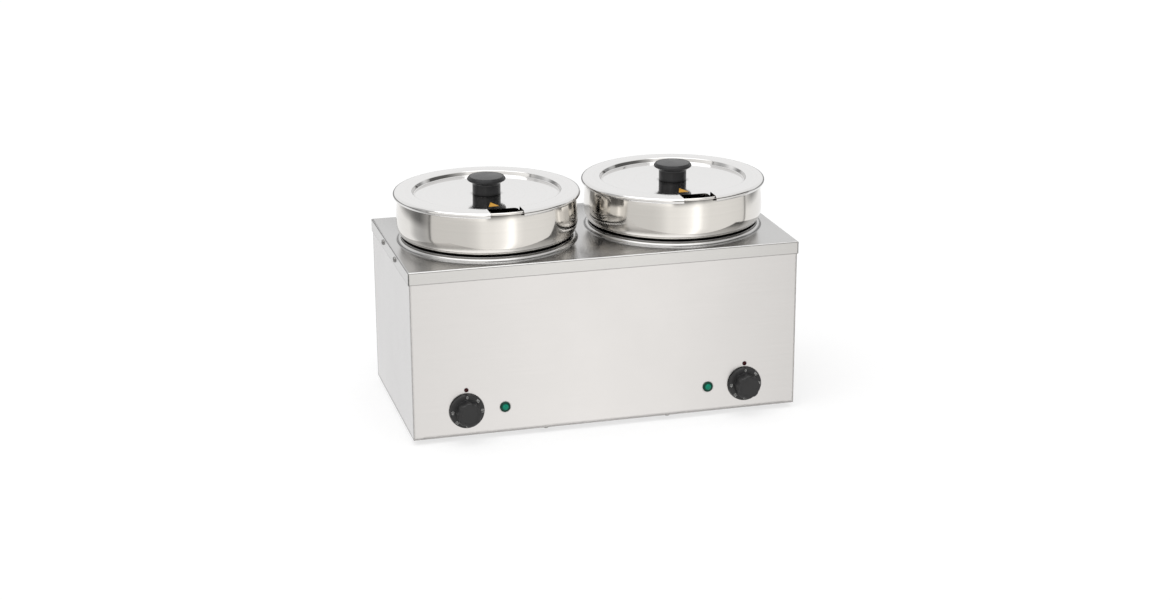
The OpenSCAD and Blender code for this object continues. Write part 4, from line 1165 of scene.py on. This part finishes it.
class HOTPOT_OT_make_studio(bpy.types.Operator):
    """Set the floor, the soft light, the reflected studio wall and the camera"""

    bl_idname = "hotpot.make_studio"
    bl_label = "Studio"

    # light of the reflected wall at angles round the hotpot from the front, positive to the right
    wall_tones = ((-180, 1.0), (-125, 0.98), (-112, 0.57), (-100, 0.46), (-90.5, 0.52), (-88, 0.08),
                  (-85.5, 0.72), (-40, 0.75), (-30, 0.82), (-20, 1.0), (-8, 1.02), (2, 1.12), (8, 1.26),
                  (12, 1.46), (15.5, 1.58), (19, 1.42), (24, 1.06), (32, 0.93), (57, 0.9), (77, 0.84),
                  (85.5, 0.78), (87.5, 0.1), (90, 0.95), (180, 1.0))
    # share of that light at heights on the wall, as shares of its radius: front left, front right and back
    left_heights = ((-1.0, 1.0), (0.08, 1.0), (0.14, 1.5), (0.45, 1.5), (0.6, 1.0), (1.0, 1.0))
    right_heights = ((-1.0, 1.0), (0.08, 1.0), (0.14, 0.14), (0.45, 0.14), (0.6, 1.0), (1.0, 1.0))
    back_heights = ((-1.0, 1.0), (-0.12, 1.0), (-0.05, 0.3), (0.17, 0.3), (0.25, 1.0), (1.0, 1.0))
    # angles over which the front of the wall runs into its back, and the front left into the front right
    front_to_back = (84, 104)
    left_to_right = (-17, -12)

    def execute(self, context):
        studio = context.scene.hotpot.studio
        context.scene.view_settings.view_transform = "Standard"
        self.floor(studio.floor_lift)
        self.wall(studio.wall_radius)
        self.sky(context.scene, studio.sky)
        self.key_light(studio)
        self.camera(context.scene, studio)
        return {"FINISHED"}

    def staged(self, bm, name):
        """A piece of the studio, and the node tree of its empty material."""
        mesh = to_mesh(bm, name)
        piece = added(name, mesh)
        material, tree = empty_material(name)
        mesh.materials.append(material)
        return piece, tree

    def seen_rays(self, tree):
        """1 for rays that show the surroundings to the camera, in metal or through glass."""
        path = tree.nodes.new("ShaderNodeLightPath")
        direct = math_in(tree, "MAXIMUM", path.outputs["Is Camera Ray"], path.outputs["Is Glossy Ray"])
        return math_in(tree, "MAXIMUM", direct, path.outputs["Is Transmission Ray"])

    def floor(self, lift):
        """A wide pale floor that takes the shadow and is lifted to white for the camera."""
        bm = bmesh.new()
        bmesh.ops.create_grid(bm, x_segments=4, y_segments=4, size=FLOOR_REACH)
        piece, tree = self.staged(bm, "studio_floor")
        piece.visible_glossy = False
        matt = node_in(tree, "ShaderNodeBsdfDiffuse", Color=(*FLOOR_GREY, 1.0))
        glow = node_in(tree, "ShaderNodeEmission", Color=(*WHITE, 1.0))
        tree.links.new(math_in(tree, "MULTIPLY", self.seen_rays(tree), lift), glow.inputs["Strength"])
        both = tree.nodes.new("ShaderNodeAddShader")
        tree.links.new(matt.outputs["BSDF"], both.inputs[0])
        tree.links.new(glow.outputs["Emission"], both.inputs[1])
        surfaced(tree, both.outputs["Shader"])

    def wall(self, radius):
        """A round wall of soft panels far off, which shows only in polished surfaces."""
        bm = bmesh.new()
        columns = []
        for x, y in arc((0.0, 0.0), radius, -270, 90, WALL_STEPS):
            columns.append([bm.verts.new((x, y, -radius)), bm.verts.new((x, y, radius))])
        for first, second in zip(columns, columns[1:]):
            bm.faces.new((first[0], second[0], second[1], first[1]))
        piece, tree = self.staged(bm, "studio_wall")
        for ray in ("camera", "diffuse", "transmission", "volume_scatter", "shadow"):
            setattr(piece, "visible_" + ray, False)
        self.wall_light(tree, radius)

    def wall_light(self, tree, radius):
        """The wall's own light, from its tones round the hotpot and its shares up the wall."""
        start, end = self.wall_tones[0][0], self.wall_tones[-1][0]
        parts = parts_of(tree, tree.nodes.new("ShaderNodeTexCoord").outputs["Object"])
        angle = math_in(tree, "ARCTAN2", parts["X"], math_in(tree, "MULTIPLY", parts["Y"], -1.0))
        behind = spread(tree, math_in(tree, "ABSOLUTE", angle), *map(math.radians, self.front_to_back))
        rightward = spread(tree, angle, *map(math.radians, self.left_to_right))
        along = spread(tree, angle, math.radians(start), math.radians(end))
        upward = spread(tree, parts["Z"], -radius, radius)
        brightest = max(level for _, level in self.wall_tones)
        peak = max(level for _, level in self.left_heights)
        stops = [((degrees - start) / (end - start), level / brightest) for degrees, level in self.wall_tones]
        front, back = (self.shades(tree, along, stops, tint) for tint in (WALL_TINT, WHITE))
        left, right, rear = (
            self.shades(tree, upward, [((height + 1) / 2, level / peak) for height, level in heights], WHITE)
            for heights in (self.left_heights, self.right_heights, self.back_heights))
        level = mixed_colour(tree, behind, mixed_colour(tree, rightward, left, right), rear)
        glow = tree.nodes.new("ShaderNodeEmission")
        tree.links.new(mixed_colour(tree, behind, front, back), glow.inputs["Color"])
        tree.links.new(math_in(tree, "MULTIPLY", level, brightest * peak), glow.inputs["Strength"])
        surfaced(tree, glow.outputs["Emission"])

    def shades(self, tree, share, stops, tint):
        """Light that runs through a row of (place, level) stops."""
        ramp = tree.nodes.new("ShaderNodeValToRGB")
        tree.links.new(share, ramp.inputs["Fac"])
        marks = ramp.color_ramp.elements
        while len(marks) < len(stops):
            marks.new(0.5)
        for mark, (place, level) in zip(marks, stops):
            mark.position = place
            mark.color = (*shaded(tint, level), 1.0)
        return ramp.outputs["Color"]

    def sky(self, scene, strength):
        """White surroundings for the camera and reflections, and soft light for everything else."""
        scene.world = bpy.data.worlds.new("studio_sky")
        scene.world.use_nodes = True
        tree = scene.world.node_tree
        tree.nodes.clear()
        light = node_in(tree, "ShaderNodeBackground", Color=(*WHITE, 1.0), Strength=strength)
        seen = node_in(tree, "ShaderNodeBackground", Color=(*WHITE, 1.0), Strength=1.0)
        mix = tree.nodes.new("ShaderNodeMixShader")
        tree.links.new(self.seen_rays(tree), mix.inputs["Fac"])
        tree.links.new(light.outputs["Background"], mix.inputs[1])
        tree.links.new(seen.outputs["Background"], mix.inputs[2])
        surfaced(tree, mix.outputs["Shader"], "ShaderNodeOutputWorld")

    def key_light(self, studio):
        """A wide even light from above, a little from the front and the left."""
        lamp = bpy.data.lights.new("key_light", "SUN")
        lamp.energy = studio.key
        lamp.angle = studio.key_spread
        piece = added("key_light", lamp)
        piece.matrix_world = Vector(KEY_AIM).to_track_quat("-Z", "Y").to_matrix().to_4x4()

    def camera(self, scene, studio):
        """The camera at the reference view's place, turn and focal length."""
        level, rise, tilt = studio.azimuth, studio.elevation, studio.roll
        forward = Vector((math.sin(level) * math.cos(rise), math.cos(level) * math.cos(rise),
                          -math.sin(rise)))
        flat_right = Vector((math.cos(level), -math.sin(level), 0.0))
        flat_up = flat_right.cross(forward)
        right = math.cos(tilt) * flat_right + math.sin(tilt) * flat_up
        up = math.cos(tilt) * flat_up - math.sin(tilt) * flat_right
        base = Vector((0.0, 0.0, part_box("bottom_plate")[0].z))
        spot = base + right * studio.aim_right + up * studio.aim_up - forward * studio.range
        lens = bpy.data.cameras.new("photo_camera")
        lens.sensor_width = 36.0
        lens.lens = studio.lens
        lens.clip_end = 100.0
        piece = added("photo_camera", lens)
        turned_to = Matrix((right, up, -forward)).transposed().to_4x4()
        piece.matrix_world = Matrix.Translation(spot) @ turned_to
        scene.camera = piece


class HOTPOT_PT_sidebar(bpy.types.Panel):
    """Lists the pieces of the hotpot and their settings"""

    bl_label = "Double Hotpot"
    bl_space_type = "VIEW_3D"
    bl_region_type = "UI"
    bl_category = "Hotpot"

    def draw(self, context):
        layout = self.layout
        for operator in OPERATORS:
            layout.operator(operator.bl_idname)
        settings = context.scene.hotpot
        for part in ("pot", "lid", "knob", "dial", "deck", "lamp", "finish", "studio"):
            box = layout.box()
            box.label(text=part.capitalize())
            group = getattr(settings, part)
            for name in group.__annotations__:
                box.prop(group, name)


OPERATORS = (HOTPOT_OT_finish_housing, HOTPOT_OT_make_deck, HOTPOT_OT_make_pots, HOTPOT_OT_make_lids,
             HOTPOT_OT_make_knobs, HOTPOT_OT_make_dials, HOTPOT_OT_make_lamps, HOTPOT_OT_make_studio)
CLASSES = (PotSettings, LidSettings, KnobSettings, DialSettings, DeckSettings, LampSettings, FinishSettings,
           StudioSettings, HotpotSettings, *OPERATORS, HOTPOT_PT_sidebar)


def register():
    """Adds the classes and the settings to Blender."""
    for cls in CLASSES:
        bpy.utils.register_class(cls)
    bpy.types.Scene.hotpot = PointerProperty(type=HotpotSettings)


def unregister():
    """Takes the settings and the classes out of Blender again."""
    del bpy.types.Scene.hotpot
    for cls in reversed(CLASSES):
        bpy.utils.unregister_class(cls)


def main():
    """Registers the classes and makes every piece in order."""
    register()
    bpy.ops.hotpot.finish_housing()
    bpy.ops.hotpot.make_deck()
    bpy.ops.hotpot.make_pots()
    bpy.ops.hotpot.make_lids()
    bpy.ops.hotpot.make_knobs()
    bpy.ops.hotpot.make_dials()
    bpy.ops.hotpot.make_lamps()
    bpy.ops.hotpot.make_studio()


if __name__ == "__main__":
    main()
